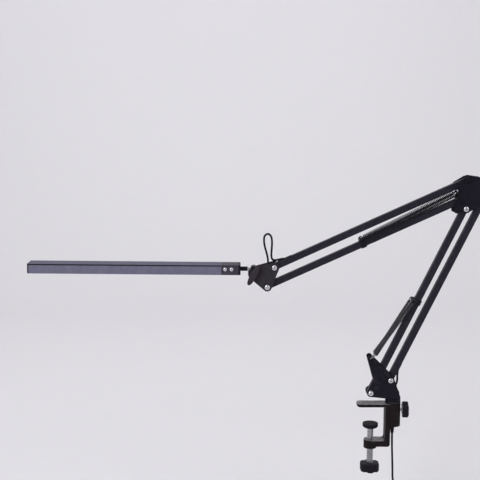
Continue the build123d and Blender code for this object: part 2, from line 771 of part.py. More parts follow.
# Head bracket
plate_pair(
    "head",
    [[(UPPER_HEAD, HEAD_TOP_R), (LOWER_HEAD, HEAD_LOW_R), (TILT, HEAD_TILT_R)]],
    [
        (UPPER_HEAD, PLATE_HOLE_R),
        (LOWER_HEAD, PLATE_HOLE_R),
        (TILT, TILT_BOLT_R + PLATE_HOLE_ROOM),
    ],
    None,
    None,
)
keep(fasteners([UPPER_HEAD, LOWER_HEAD]), "head_bolts")
with BuildPart() as head_spacers:
    add(spacers([UPPER_HEAD, LOWER_HEAD]).part)
    for y_back in (TILT_WASHER_T - PLATE_IN - FACE_GAP, PLATE_IN):
        with BuildSketch(side(y_back)):
            with Locations(TILT):
                Circle(TILT_WASHER_R)
                Circle(TILT_BOLT_R + RUN_FIT, mode=Mode.SUBTRACT)
        extrude(amount=TILT_WASHER_T - FACE_GAP)
keep(head_spacers, "head_spacers")

# Tilting block with its bolt and wing knob
block_half = PLATE_IN - TILT_WASHER_T
with BuildPart() as tilt_block:
    with BuildSketch(side(block_half)):
        with Locations(TILT):
            Circle(TILT_BLOCK_R)
        with Locations((TILT[0], ROD_Z)):
            Circle(TILT_BLOCK_TOP_R)
        make_hull()
        with Locations(TILT):
            Circle(TILT_BOLT_R + RUN_FIT, mode=Mode.SUBTRACT)
    extrude(amount=2 * block_half)
    with BuildSketch(end_view(TILT[0] - TILT_BLOCK_R)):
        with Locations((0, ROD_Z)):
            Circle(ROD_R)
    extrude(amount=2 * TILT_BLOCK_R, mode=Mode.SUBTRACT)
keep(tilt_block, "tilt_block", BAR_SLOPE)

wing_seat = -PLATE_OUT - FACE_GAP
with BuildPart() as tilt_bolt:
    with BuildSketch(side(PLATE_OUT + TILT_HEAD_T)):
        with Locations(TILT):
            RegularPolygon(TILT_HEAD_R, 6)
    extrude(amount=TILT_HEAD_T)
    with BuildSketch(side(PLATE_OUT)):
        with Locations(TILT):
            Circle(TILT_BOLT_R)
    extrude(amount=PLATE_OUT - wing_seat + WING_BORE - SEAT_GAP)
keep(tilt_bolt, "tilt_bolt")

wing_lean = math.radians(WING_LEAN)
leaf_plane = Plane(
    origin=(TILT[0], wing_seat - WING_HUB_T, TILT[1]),
    x_dir=(math.cos(wing_lean), 0, -math.sin(wing_lean)),
    z_dir=(0, -1, 0),
)
with BuildPart() as wing_knob:
    with BuildSketch(side(wing_seat)):
        with Locations(TILT):
            Circle(WING_HUB_R)
    extrude(amount=WING_HUB_T)
    with BuildSketch(leaf_plane) as leaf:
        with BuildLine():
            for edge in (WING_W / 2, -WING_W / 2):
                ThreePointArc((0, -WING_LEN / 2), (edge, 0), (0, WING_LEN / 2))
        make_face()
        fillet(leaf.vertices(), WING_TIP_R)
    extrude(amount=WING_T)
    chamfer(wing_knob.faces().sort_by(Axis.Y)[0].edges(), WING_EDGE)
    with BuildSketch(side(wing_seat)):
        with Locations(TILT):
            Circle(TILT_BOLT_R + RUN_FIT)
    extrude(amount=WING_BORE, mode=Mode.SUBTRACT)
keep(wing_knob, "wing_knob")

bar_right = TILT[0] - TILT_TO_BAR
with BuildPart() as lamp_rod:
    with BuildSketch(end_view(bar_right - ROD_IN_BLOCK)):
        with Locations((0, ROD_Z)):
            Circle(ROD_R)
            Circle(ROD_BORE_R, mode=Mode.SUBTRACT)
    extrude(amount=ROD_IN_BLOCK + TILT_TO_BAR + ROD_PAST)
keep(lamp_rod, "lamp_rod", BAR_SLOPE)

# Light bar
block_left = bar_right - END_BLOCK_LEN
housing_left = block_left - HOUSING_LEN
bar_top = ROD_Z + BAR_TALL / 2
bar_bottom = ROD_Z - BAR_TALL / 2
ceiling = bar_top - BAR_TOP
inside_w = BAR_DEPTH - 2 * BAR_WALL
with BuildPart() as stem:
    with BuildSketch(end_view(bar_right)):
        with Locations((0, ROD_Z)):
            Circle(STEM_R)
            Circle(ROD_R + RUN_FIT, mode=Mode.SUBTRACT)
    extrude(amount=STEM_LEN)
keep(stem, "stem", BAR_SLOPE)

board_bottom = ceiling - BOARD_T
diffuser_bottom = bar_bottom + DIFFUSER_INSET
spigot_bottom = diffuser_bottom + DIFFUSER_T + SPIGOT_ROOM
spigot_top = board_bottom - LED_T - SPIGOT_ROOM
end_screw_places = [(bar_right - place, ROD_Z + END_SCREW_RISE) for place in END_SCREWS]
with BuildPart() as end_block:
    with BuildSketch(end_view(block_left)):
        with Locations((0, ROD_Z)):
            RectangleRounded(BAR_DEPTH, BAR_TALL, BAR_CORNER)
    extrude(amount=END_BLOCK_LEN)
    chamfer(end_block.faces().sort_by(Axis.X)[-1].edges(), BAR_CORNER / 2)
    with BuildSketch(end_view(block_left)):
        with Locations((0, (spigot_bottom + spigot_top) / 2)):
            Rectangle(inside_w - 2 * SPIGOT_ROOM, spigot_top - spigot_bottom)
    extrude(amount=-SPIGOT_LEN)
    with BuildSketch(end_view(bar_right - ROD_IN_BLOCK - SEAT_GAP)):
        with Locations((0, ROD_Z)):
            Circle(ROD_R + RUN_FIT)
    extrude(amount=ROD_IN_BLOCK + SEAT_GAP, mode=Mode.SUBTRACT)
    with BuildSketch(side(-BAR_DEPTH / 2)):
        with Locations(*end_screw_places):
            Circle(END_SCREW_SHANK_R)
    extrude(amount=-END_SCREW_SHANK, mode=Mode.SUBTRACT)
keep(end_block, "end_block", BAR_SLOPE)

with BuildPart() as end_screws:
    with BuildSketch(side(-BAR_DEPTH / 2)):
        with Locations(*end_screw_places):
            Circle(END_SCREW_R)
    extrude(amount=END_SCREW_T)
    chamfer(end_screws.faces().group_by(Axis.Y)[0].edges(), END_SCREW_EDGE)
    with BuildSketch(side(-BAR_DEPTH / 2)):
        with Locations(*end_screw_places):
            Circle(END_SCREW_SHANK_R)
    extrude(amount=-END_SCREW_SHANK)
keep(end_screws, "end_screws", BAR_SLOPE)

with BuildPart() as bar_housing:
    with BuildSketch(end_view(housing_left)):
        with Locations((0, ROD_Z)):
            RectangleRounded(BAR_DEPTH, BAR_TALL, BAR_CORNER)
        with Locations((0, (bar_bottom + ceiling) / 2)):
            Rectangle(inside_w, ceiling - bar_bottom, mode=Mode.SUBTRACT)
        groove_z = bar_top - GROOVE_DROP - GROOVE_T / 2
        with Locations((-BAR_DEPTH / 2, groove_z), (BAR_DEPTH / 2, groove_z)):
            Rectangle(2 * GROOVE_DEEP, GROOVE_T, mode=Mode.SUBTRACT)
    extrude(amount=HOUSING_LEN)
keep(bar_housing, "bar_housing", BAR_SLOPE)

with BuildPart() as end_cap:
    with BuildSketch(end_view(housing_left - END_CAP_T)):
        with Locations((0, ROD_Z)):
            RectangleRounded(BAR_DEPTH, BAR_TALL, BAR_CORNER)
    extrude(amount=END_CAP_T)
    chamfer(end_cap.faces().sort_by(Axis.X)[0].edges(), BAR_CORNER / 2)
keep(end_cap, "end_cap", BAR_SLOPE)

with BuildPart() as diffuser:
    with BuildSketch(end_view(housing_left)):
        with Locations((0, diffuser_bottom + DIFFUSER_T / 2)):
            Rectangle(inside_w - 2 * DIFFUSER_ROOM, DIFFUSER_T)
    extrude(amount=HOUSING_LEN)
keep(diffuser, "diffuser", BAR_SLOPE)

with BuildPart() as led_board:
    with BuildSketch(end_view(housing_left)):
        with Locations((0, ceiling - BOARD_T / 2)):
            Rectangle(BOARD_W, BOARD_T)
    extrude(amount=HOUSING_LEN)
keep(led_board, "led_board", BAR_SLOPE)

led_step = HOUSING_LEN / LED_COUNT
with BuildPart() as leds:
    with BuildSketch(Plane.XY.offset(board_bottom - LED_T)):
        with Locations(*[(housing_left + led_step * (i + 0.5), 0) for i in range(LED_COUNT)]):
            Rectangle(LED_LONG, LED_WIDE)
    extrude(amount=LED_T)
keep(leds, "leds", BAR_SLOPE)

# Wire from the light bar, looped over the head pivot and through the tubes to the post
WIRE_IN_TUBE = 34.0     # where a loop's end meets the straight wire, from the pivot
WIRE_JOIN_GAP = 0.4     # room between the two there
WIRE_OFFSET = 1.9       # wire's middle from the tube's middle there
tube_wire("upper_wire", UPPER_HEAD, FORE_DIR, FORE_UP, FORE_DOWN)
tube_wire("rear_wire", REAR_FOOT, LOWER_DIR, LOWER_BACK, LOWER_FRONT)


def beside(pivot, direction, out, place, offset):
    """A cord point beside a tube: along it from its pivot, and out from its middle."""
    x, z = moved(moved(pivot, direction, place), out, offset)
    return (x, 0, z)


def near(pivot, dx, dz, y=0):
    """A cord point given from a pivot."""
    return (pivot[0] + dx, y, pivot[1] + dz)


slope = math.radians(BAR_SLOPE)
rod_end = near(
    TILT,
    ROD_PAST * math.cos(slope) + ROD_RISE * math.sin(slope),
    ROD_RISE * math.cos(slope) - ROD_PAST * math.sin(slope),
)
cord(
    "head_wire",
    [
        rod_end,
        near(UPPER_HEAD, -16.4, -2.2),
        near(UPPER_HEAD, -10.4, 1.6),
        near(UPPER_HEAD, -8.9, 9.2),
        near(UPPER_HEAD, -11.2, 20.4),
        near(UPPER_HEAD, -14.6, 31.4),
        near(UPPER_HEAD, -15.8, 40.4),
        near(UPPER_HEAD, -15.0, 48.0),
        near(UPPER_HEAD, -9.2, 51.4),
        near(UPPER_HEAD, -4.2, 46.8),
        near(UPPER_HEAD, -3.2, 37.4),
        near(UPPER_HEAD, -4.0, 24.8),
        near(UPPER_HEAD, -4.6, 16.2),
        near(UPPER_HEAD, -2.8, 10.2),
        beside(UPPER_HEAD, FORE_DIR, FORE_UP, 8.5, 7.6),
        beside(UPPER_HEAD, FORE_DIR, FORE_UP, 16.5, 6.2),
        beside(UPPER_HEAD, FORE_DIR, FORE_UP, 24.0, 3.0),
        beside(UPPER_HEAD, FORE_DIR, FORE_UP, WIRE_IN_TUBE, WIRE_OFFSET),
    ],
)
cord(
    "elbow_wire",
    [
        beside(UPPER_ELBOW, FORE_OUT, FORE_DOWN, WIRE_IN_TUBE, WIRE_OFFSET),
        beside(UPPER_ELBOW, FORE_OUT, FORE_DOWN, 23.0, 2.8),
        beside(UPPER_ELBOW, FORE_OUT, FORE_DOWN, 14.5, 6.2),
        near(UPPER_ELBOW, -3.4, -13.6),
        near(UPPER_ELBOW, 4.8, -18.6),
        near(REAR_TOP, -16.4, -3.4),
        near(REAR_TOP, -12.6, -11.4),
        beside(REAR_TOP, opposite(LOWER_DIR), LOWER_FRONT, 21.5, 3.6),
        beside(REAR_TOP, opposite(LOWER_DIR), LOWER_FRONT, WIRE_IN_TUBE, WIRE_OFFSET),
    ],
)
WIRE_MEETS_LEAD = 10.0  # height in the post where the lamp's wire meets the supply lead
cord(
    "base_wire",
    [
        beside(REAR_FOOT, LOWER_DIR, LOWER_BACK, WIRE_IN_TUBE, WIRE_OFFSET),
        beside(REAR_FOOT, LOWER_DIR, LOWER_BACK, 24.0, 2.8),
        beside(REAR_FOOT, LOWER_DIR, LOWER_BACK, 15.5, 6.0),
        near(REAR_FOOT, 11.6, 5.2),
        near(REAR_FOOT, 11.8, -2.4),
        near(REAR_FOOT, 10.2, -9.2),
        near(REAR_FOOT, 6.9, -15.0),
        (POST_X, 0, REAR_FOOT[1] - 20.6),
        (POST_X, 0, WIRE_MEETS_LEAD),
    ],
)

# Supply lead out of the post's foot, hanging to a tied coil
relief_bottom = BOSS_BOTTOM - RELIEF_LEN
with BuildPart() as lead_relief:
    with BuildSketch(Plane.XY.offset(BOSS_BOTTOM)):
        with Locations((POST_X, 0)):
            Circle(RELIEF_R)
    with BuildSketch(Plane.XY.offset(relief_bottom)):
        with Locations((POST_X, 0)):
            Circle(RELIEF_TIP_R)
    loft()
    with BuildSketch(Plane.XY.offset(BOSS_BOTTOM)):
        with Locations((POST_X, 0)):
            Circle(RELIEF_NECK_R)
    extrude(amount=BOSS_FLOOR)
    with BuildSketch(Plane.XY.offset(relief_bottom)):
        with Locations((POST_X, 0)):
            Circle(CORD_R + RUN_FIT)
    extrude(amount=RELIEF_LEN + BOSS_FLOOR, mode=Mode.SUBTRACT)
keep(lead_relief, "lead_relief")

coil_outer = COIL_R + COIL_STEP * COIL_TURNS / 2
layer_y = COIL_STEP * (COIL_LAYERS - 1) / 2
coil_start_run = 2 * CORD_R
coil_top = COIL_Z + coil_outer
cord(
    "supply_lead",
    [
        (POST_X, 0, WIRE_MEETS_LEAD),
        (POST_X, 0, -47.0),
        (34.6, -0.3, -66.0),
        (35.2, -1.5, -84.0),
        (35.6, -3.4, -100.0),
        (35.6, -4.9, -109.0),
        (35.8, -layer_y, coil_top + 9.6),
        (37.6, -layer_y, coil_top + 5.2),
        (41.0, -layer_y, coil_top + 1.9),
        (45.3, -layer_y, coil_top),
        (COIL_X - coil_start_run, -layer_y, coil_top),
    ],
)


def coil_station(turn):
    """Place and direction on the coil after so many turns, clockwise from its top."""
    layer = min(int(turn // COIL_TURNS), COIL_LAYERS - 1)
    done = turn - layer * COIL_TURNS
    shrink = done if layer % 2 == 0 else COIL_TURNS - done
    radius = coil_outer - COIL_STEP * shrink
    climb = 0.0
    if layer and done < 0.25:
        climb = 2 * done - 0.5
    if layer < COIL_LAYERS - 1 and done > COIL_TURNS - 0.25:
        climb = 2 * (done - COIL_TURNS) + 0.5
    angle = math.pi / 2 - 2 * math.pi * turn
    place = Vector(
        COIL_X + radius * math.cos(angle),
        COIL_STEP * (layer + climb) - layer_y,
        COIL_Z + radius * math.sin(angle),
    )
    return place, Vector(math.sin(angle), 0, -math.cos(angle))


with BuildPart() as lead_coil:
    turns_in_all = COIL_TURNS * COIL_LAYERS + 0.25
    stations = [coil_station(quarter / 4) for quarter in range(int(4 * turns_in_all) + 1)]
    coil_wire = sweep_wound(stations, CORD_R, COIL_SIDES, coil_start_run, COIL_TAIL)
    coil_gap = self_gap(coil_wire, CORD_R, 2 * math.pi * COIL_R * 0.6)
    print(f"lead_coil: {coil_wire.length:.0f} mm long, least gap to itself {coil_gap:.2f} mm")
keep(lead_coil, "lead_coil")

# Tie round the coil's left side, and the plug on the coil's tail
coil_inner = COIL_R - COIL_STEP * COIL_TURNS / 2
tie_left = COIL_X - coil_outer - CORD_R - TIE_ROOM
tie_right = COIL_X - coil_inner + CORD_R + TIE_ROOM
tie_half = layer_y + CORD_R + TIE_ROOM
with BuildPart() as lead_tie:
    with BuildSketch(Plane.XY.offset(COIL_Z - TIE_W / 2)):
        with Locations(((tie_left + tie_right) / 2, 0)):
            Rectangle(tie_right - tie_left + 2 * TIE_T, 2 * (tie_half + TIE_T))
            Rectangle(tie_right - tie_left, 2 * tie_half, mode=Mode.SUBTRACT)
    extrude(amount=TIE_W)
keep(lead_tie, "lead_tie")

plug_x = stations[-1][0].X
plug_top = COIL_Z - COIL_TAIL
with BuildPart() as plug_body:
    with BuildSketch(Plane.XY.offset(plug_top - PLUG_LEN)):
        with Locations((plug_x, layer_y)):
            RectangleRounded(PLUG_T, PLUG_W, PLUG_ROUND)
    extrude(amount=PLUG_LEN)
    chamfer(plug_body.faces().sort_by(Axis.Z)[-1].edges(), PLUG_ROUND)
keep(plug_body, "plug_body")

with BuildPart() as plug_shell:
    with BuildSketch(Plane.XY.offset(plug_top - PLUG_LEN - SHELL_LEN)):
        with Locations((plug_x, layer_y)):
            Rectangle(SHELL_T, SHELL_W)
    extrude(amount=SHELL_LEN)
keep(plug_shell, "plug_shell")
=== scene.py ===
# Dresses the clamp lamp: camera, cords, springs, fasteners, knobs, finishes and a pale studio.
# Metres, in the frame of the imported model.

import json
import math

import bmesh
import bpy
from mathutils import Matrix, Vector

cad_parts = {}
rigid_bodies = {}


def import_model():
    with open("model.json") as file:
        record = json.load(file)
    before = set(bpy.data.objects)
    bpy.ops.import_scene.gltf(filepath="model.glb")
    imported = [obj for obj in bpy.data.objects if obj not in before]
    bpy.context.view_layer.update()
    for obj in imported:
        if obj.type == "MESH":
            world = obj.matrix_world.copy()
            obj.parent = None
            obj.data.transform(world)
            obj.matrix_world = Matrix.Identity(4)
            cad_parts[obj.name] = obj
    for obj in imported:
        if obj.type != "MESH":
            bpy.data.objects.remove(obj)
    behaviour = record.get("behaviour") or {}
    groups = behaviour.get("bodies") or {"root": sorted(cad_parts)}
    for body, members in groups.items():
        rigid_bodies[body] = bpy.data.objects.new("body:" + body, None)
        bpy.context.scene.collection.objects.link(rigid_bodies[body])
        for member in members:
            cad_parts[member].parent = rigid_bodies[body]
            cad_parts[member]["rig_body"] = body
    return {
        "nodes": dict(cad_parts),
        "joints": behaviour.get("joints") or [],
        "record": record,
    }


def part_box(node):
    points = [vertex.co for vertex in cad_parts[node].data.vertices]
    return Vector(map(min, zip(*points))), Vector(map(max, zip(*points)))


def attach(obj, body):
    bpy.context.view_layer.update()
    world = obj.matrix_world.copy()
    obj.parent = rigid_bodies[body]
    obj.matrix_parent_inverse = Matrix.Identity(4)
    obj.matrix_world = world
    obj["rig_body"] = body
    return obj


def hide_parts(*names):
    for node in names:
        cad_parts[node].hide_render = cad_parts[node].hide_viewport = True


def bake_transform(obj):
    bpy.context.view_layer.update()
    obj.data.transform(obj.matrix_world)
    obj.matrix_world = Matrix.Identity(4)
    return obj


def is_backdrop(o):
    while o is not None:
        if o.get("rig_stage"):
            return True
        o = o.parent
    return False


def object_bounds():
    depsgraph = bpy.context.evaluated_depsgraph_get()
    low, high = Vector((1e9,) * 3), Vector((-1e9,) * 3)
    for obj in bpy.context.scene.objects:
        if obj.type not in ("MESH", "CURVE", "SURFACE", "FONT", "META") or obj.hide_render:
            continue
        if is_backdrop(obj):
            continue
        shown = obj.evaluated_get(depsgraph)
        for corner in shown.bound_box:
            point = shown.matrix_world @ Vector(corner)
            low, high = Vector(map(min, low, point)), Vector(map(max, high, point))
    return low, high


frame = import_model()
cad_low, cad_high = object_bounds()

MM = 0.001
scene = bpy.context.scene
scene.view_settings.view_transform = "Standard"
nodes = frame["nodes"]
slot_of = {part["node"]: part["material_slot"] for part in frame["record"]["subparts"]}


def mm(*numbers):
    """A point or direction given in millimetres."""
    return Vector(numbers) * MM


# Pivots of the arm, from the model's own joints
pivot = {joint["name"]: Vector(joint["pos_m"]) for joint in frame["joints"] if "pos_m" in joint}
front_foot, rear_foot = pivot["front_link"], pivot["lower_arm"]
rear_top = pivot["elbow_link"]
front_top = rear_top - rear_foot + front_foot
upper_elbow, lower_elbow = pivot["forearm"], pivot["fore_link"]
upper_head = pivot["head_link"]
lower_head = upper_head + lower_elbow - upper_elbow
tilt = pivot["head_tilt"]
rod = pivot["bar_roll"]
rod_dir = next(Vector(joint["axis"]) for joint in frame["joints"] if joint["name"] == "bar_roll")
bar_place = Matrix.Translation(rod) @ rod_dir.to_track_quat("X", "Z").to_matrix().to_4x4()
lower_dir = (rear_top - rear_foot).normalized()
lower_back = Vector((lower_dir.z, 0, -lower_dir.x))
fore_dir = (upper_elbow - upper_head).normalized()
fore_up = Vector((-fore_dir.z, 0, fore_dir.x))

# Sizes shared with the solids, in millimetres
CORD_R = 1.6
SPRING_R, SPRING_Y = 3.4, 9.5
PIN_R = 2.0
COLLAR_FROM_PIVOT, PIN_OUT = 158.0, 6.0
PLATE_OUT = 10.25
HEAD_R, HEAD_T = 4.4, 3.0
NUT_R, NUT_T, BOLT_R, BOLT_END = 4.6, 4.0, 2.5, 1.2
POST_X = 34.2
ARM = 317.0
WIRE_IN_TUBE, WIRE_JOIN_GAP, WIRE_OFFSET = 34.0, 0.4, 1.9
COIL_X, COIL_Z, COIL_TAIL = 52.8, -150.0, 18.5
COIL_STEP, COIL_TURNS, COIL_LAYERS = 3.7, 3, 4
RELIEF_R, RELIEF_TIP_R = 4.3, 2.6
BAR_FACE, GROOVE_Z = 15.0, 6.3
END_SCREW_R, END_SCREW_T, END_SCREW_SHANK_R, END_SCREW_SHANK = 3.1, 1.8, 1.6, 9.0
END_SCREW_X, END_SCREW_Z = (-43.2, -33.6), 1.3
WING_HALF_LEN, WING_HALF_W, WING_HALF_T, WING_LEAN = 17.5, 5.0, 3.5, 28.7
LOCK_SCREW_R, LOCK_R = 2.5, 12.5
SCREW_R, SCREW_PITCH, HANDLE_R = 5.0, 3.0, 15.0

# Sizes of the scene's own detail, in millimetres
LOWER_WIRE, LOWER_PITCH = 1.2, 1.32
FORE_WIRE, FORE_PITCH = 1.6, 2.45
HOOK_HIGHLIGHT_LEN = 6.5
FINE_PITCH = 0.8
LOCK_CAP_R, HANDLE_CAP_R = 6.0, 7.5
STRIP_LEN, STRIP_MID = 290.6, -194.4
FACING_X = -23.2
ROUND_STEPS = 48

# Camera at the photograph's angle
camera = bpy.data.objects.new("camera", bpy.data.cameras.new("camera"))
scene.collection.objects.link(camera)
camera.data.sensor_width = 36.0
camera.data.lens = 75.0
camera.location = (-0.203, -1.5, 0.4815)
camera.rotation_euler = (math.radians(90.0 - 8.4), 0, 0)
scene.camera = camera


# Shared shader effects, their noise scaled per metre
CLOUD_SCALE, RUB_SCALE, DUST_AND_TOP_LIGHT_SCALE = 55.0, 160.0, 90.0
NOISE_LOW, NOISE_HIGH = 0.3, 0.7


def effect(name, inputs, outputs):
    """An empty node group with named sockets: its tree, its input node and its output node."""
    tree = bpy.data.node_groups.new(name, "ShaderNodeTree")
    for title, kind in inputs:
        tree.interface.new_socket(title, in_out="INPUT", socket_type="NodeSocket" + kind)
    for title, kind in outputs:
        tree.interface.new_socket(title, in_out="OUTPUT", socket_type="NodeSocket" + kind)
    return tree, tree.nodes.new("NodeGroupInput"), tree.nodes.new("NodeGroupOutput")


def noise(tree, vector, scale, detail=2.0):
    """A noise texture; scale is a number or a socket."""
    node = tree.nodes.new("ShaderNodeTexNoise")
    node.inputs["Detail"].default_value = detail
    tree.links.new(vector, node.inputs["Vector"])
    if isinstance(scale, float):
        node.inputs["Scale"].default_value = scale
    else:
        tree.links.new(scale, node.inputs["Scale"])
    return node.outputs["Fac"]


def arithmetic(tree, operation, first, second):
    """A math node; each term is a number or a socket."""
    node = tree.nodes.new("ShaderNodeMath")
    node.operation = operation
    for socket, term in zip(node.inputs, (first, second)):
        if isinstance(term, float):
            socket.default_value = term
        else:
            tree.links.new(term, socket)
    return node.outputs[0]


def remap(tree, value, low, high, to_low, to_high):
    """A clamped change of range."""
    node = tree.nodes.new("ShaderNodeMapRange")
    tree.links.new(value, node.inputs["Value"])
    for title, number in (("From Min", low), ("From Max", high), ("To Min", to_low), ("To Max", to_high)):
        node.inputs[title].default_value = number
    return node.outputs["Result"]


def grain_effect():
    """Fine grain and broad cloudiness on Object coordinates, stretched along an axis where asked."""
    tree, given, made = effect(
        "surface_grain",
        [("Scale", "Float"), ("Stretch", "Vector")],
        [("Fine", "Float"), ("Broad", "Float")],
    )
    place = tree.nodes.new("ShaderNodeTexCoord")
    stretch = tree.nodes.new("ShaderNodeVectorMath")
    stretch.operation = "MULTIPLY"
    tree.links.new(place.outputs["Object"], stretch.inputs[0])
    tree.links.new(given.outputs["Stretch"], stretch.inputs[1])
    fine = noise(tree, stretch.outputs[0], given.outputs["Scale"], 3.0)
    broad = noise(tree, place.outputs["Object"], CLOUD_SCALE, 4.0)
    tree.links.new(fine, made.inputs["Fine"])
    tree.links.new(broad, made.inputs["Broad"])
    return tree


def rub_effect():
    """Where handling has rubbed the edges: a broken mask along convex edges."""
    tree, given, made = effect("edge_rub", [("Reach", "Float")], [("Mask", "Float")])
    place = tree.nodes.new("ShaderNodeTexCoord")
    shape = tree.nodes.new("ShaderNodeNewGeometry")
    edge = remap(tree, shape.outputs["Pointiness"], 0.52, 0.62, 0.0, 1.0)
    patches = remap(tree, noise(tree, place.outputs["Object"], RUB_SCALE, 5.0), 0.42, 0.66, 0.0, 1.0)
    worn = arithmetic(tree, "MULTIPLY", edge, patches)
    tree.links.new(arithmetic(tree, "MULTIPLY", worn, given.outputs["Reach"]), made.inputs["Mask"])
    return tree


def dust_and_top_light_effect():
    """A thin uneven dust that lies on faces that look up, and a painted top light: colour lightened on faces
    that look up.
    """
    tree, given, made = effect("dust_and_top_light_group", [("Amount", "Float")], [("Mask", "Float")])
    place = tree.nodes.new("ShaderNodeTexCoord")
    shape = tree.nodes.new("ShaderNodeNewGeometry")
    facing = tree.nodes.new("ShaderNodeSeparateXYZ")
    tree.links.new(shape.outputs["Normal"], facing.inputs[0])
    up = remap(tree, facing.outputs["Z"], 0.55, 1.0, 0.0, 1.0)
    cloud = remap(tree, noise(tree, place.outputs["Object"], DUST_AND_TOP_LIGHT_SCALE, 6.0), 0.3, 0.75, 0.25, 1.0)
    dust_and_top_light_mask = arithmetic(tree, "MULTIPLY", up, cloud)
    tree.links.new(arithmetic(tree, "MULTIPLY", dust_and_top_light_mask, given.outputs["Amount"]), made.inputs["Mask"])
    return tree


surface_grain, edge_rub, dust_and_top_light_group = grain_effect(), rub_effect(), dust_and_top_light_effect()
# Pale grey laid on faces that look up: dust, and a painted top light where the amount is large
DUST_AND_TOP_LIGHT_COLOUR = (0.44, 0.42, 0.43, 1)


def placed(tree, group, **values):
    """A node group set into a material with its own values."""
    node = tree.nodes.new("ShaderNodeGroup")
    node.node_tree = group
    for title, value in values.items():
        node.inputs[title].default_value = value
    return node


def mixed(tree, share, first, second):
    """A colour mix; each colour is a tuple or a socket."""
    node = tree.nodes.new("ShaderNodeMix")
    node.data_type = "RGBA"
    tree.links.new(share, node.inputs["Factor"])
    for socket, colour in zip((node.inputs[6], node.inputs[7]), (first, second)):
        if isinstance(colour, tuple):
            socket.default_value = colour
        else:
            tree.links.new(colour, socket)
    return node.outputs[2]


def finish(
    name, colour, cloud, rough, grain, bump, deep, stretch=(1, 1, 1), rub=None, reach=0.0, dust_and_top_light=0.0, **sockets
):
    """A procedural finish: a colour clouded towards a second one, grained, rubbed at its edges, and dusted
    with a mask that is also a painted top light on faces that look up.
    """
    material = bpy.data.materials.new(name)
    material.use_nodes = True
    tree = material.node_tree
    shader = tree.nodes["Principled BSDF"]
    texture = placed(tree, surface_grain, Scale=grain, Stretch=stretch)
    share = remap(tree, texture.outputs["Broad"], NOISE_LOW, NOISE_HIGH, 0.0, 1.0)
    base = mixed(tree, share, (*colour, 1), (*cloud, 1))
    if rub:
        worn = placed(tree, edge_rub, Reach=reach)
        base = mixed(tree, worn.outputs["Mask"], base, (*rub, 1))
    # Dust and painted top light: faces that look up are lightened towards a pale grey
    if dust_and_top_light:
        dust_and_top_light_mask = placed(tree, dust_and_top_light_group, Amount=dust_and_top_light)
        base = mixed(tree, dust_and_top_light_mask.outputs["Mask"], base, DUST_AND_TOP_LIGHT_COLOUR)
    tree.links.new(base, shader.inputs["Base Color"])
    roughness = remap(tree, texture.outputs["Fine"], NOISE_LOW, NOISE_HIGH, *rough)
    tree.links.new(roughness, shader.inputs["Roughness"])
    relief = tree.nodes.new("ShaderNodeBump")
    relief.inputs["Strength"].default_value = bump
    relief.inputs["Distance"].default_value = deep * MM
    tree.links.new(texture.outputs["Fine"], relief.inputs["Height"])
    tree.links.new(relief.outputs["Normal"], shader.inputs["Normal"])
    for title, value in sockets.items():
        shader.inputs[title.replace("_", " ")].default_value = value
    return material


BARE_EDGE = (0.16, 0.155, 0.15)
tube_paint = finish(
    "tube_paint", (0.0133, 0.0116, 0.0187), (0.0155, 0.0138, 0.0227), (0.38, 0.52), 2600.0, 0.22, 0.05,
    rub=BARE_EDGE, reach=0.2, dust_and_top_light=0.02, Specular_IOR_Level=0.12,
)
plate_paint = finish(
    "plate_paint", (0.0076, 0.0063, 0.0114), (0.0083, 0.0070, 0.0124), (0.36, 0.50), 2100.0, 0.18, 0.05,
    rub=BARE_EDGE, reach=0.08, dust_and_top_light=0.02, Specular_IOR_Level=0.08,
)
# Painted top light: the large dust amount lightens the upward faces of the cast parts, the jaw top among them
cast_paint = finish(
    "cast_paint", (0.0080, 0.0055, 0.0063), (0.0108, 0.0072, 0.0084), (0.42, 0.60), 900.0, 0.42, 0.16,
    rub=BARE_EDGE, reach=0.14, dust_and_top_light=0.9, Specular_IOR_Level=0.08,
)
moulded_black = finish(
    "moulded_black", (0.0086, 0.0073, 0.0115), (0.0106, 0.0093, 0.0135), (0.40, 0.54), 3400.0, 0.30, 0.05,
    rub=(0.05, 0.05, 0.052), reach=0.3, dust_and_top_light=0.03, Specular_IOR_Level=0.10,
)
# Painted light: a lighter copy of the plate paint for the head plates, standing for the light on their faces
head_paint_painted_light = finish(
    "head_paint_painted_light", (0.0250, 0.0210, 0.0268), (0.0300, 0.0255, 0.0318), (0.38, 0.52), 2100.0, 0.18, 0.05,
    rub=BARE_EDGE, reach=0.2, dust_and_top_light=0.02, Specular_IOR_Level=0.08,
)
# Painted light: a lighter copy of the moulded black, so the wing knob reads lighter than the plate behind it,
# as the light falling on it makes it look
wing_black_painted_light = finish(
    "wing_black_painted_light", (0.0275, 0.0220, 0.0285), (0.0335, 0.0270, 0.0345), (0.44, 0.58), 3400.0, 0.30, 0.05,
    rub=(0.10, 0.10, 0.102), reach=0.3, dust_and_top_light=0.06, Specular_IOR_Level=0.12,
)
nylon_black = finish(
    "nylon_black", (0.0095, 0.0090, 0.0095), (0.0120, 0.0115, 0.0120), (0.30, 0.42), 1800.0, 0.12, 0.04,
    Specular_IOR_Level=0.14,
)
rubber_black = finish(
    "rubber_black", (0.0085, 0.0083, 0.0088), (0.0110, 0.0108, 0.0113), (0.62, 0.82), 1500.0, 0.35, 0.08,
    dust_and_top_light=0.04, Specular_IOR_Level=0.15,
)
cord_sheath = finish(
    "cord_sheath", (0.0075, 0.0070, 0.0085), (0.0100, 0.0095, 0.0110), (0.38, 0.50), 1400.0, 0.15, 0.05,
    Specular_IOR_Level=0.16,
)
spring_steel = finish(
    "spring_steel", (0.050, 0.047, 0.053), (0.075, 0.071, 0.077), (0.32, 0.48), 2200.0, 0.10, 0.02,
    Metallic=0.75,
)
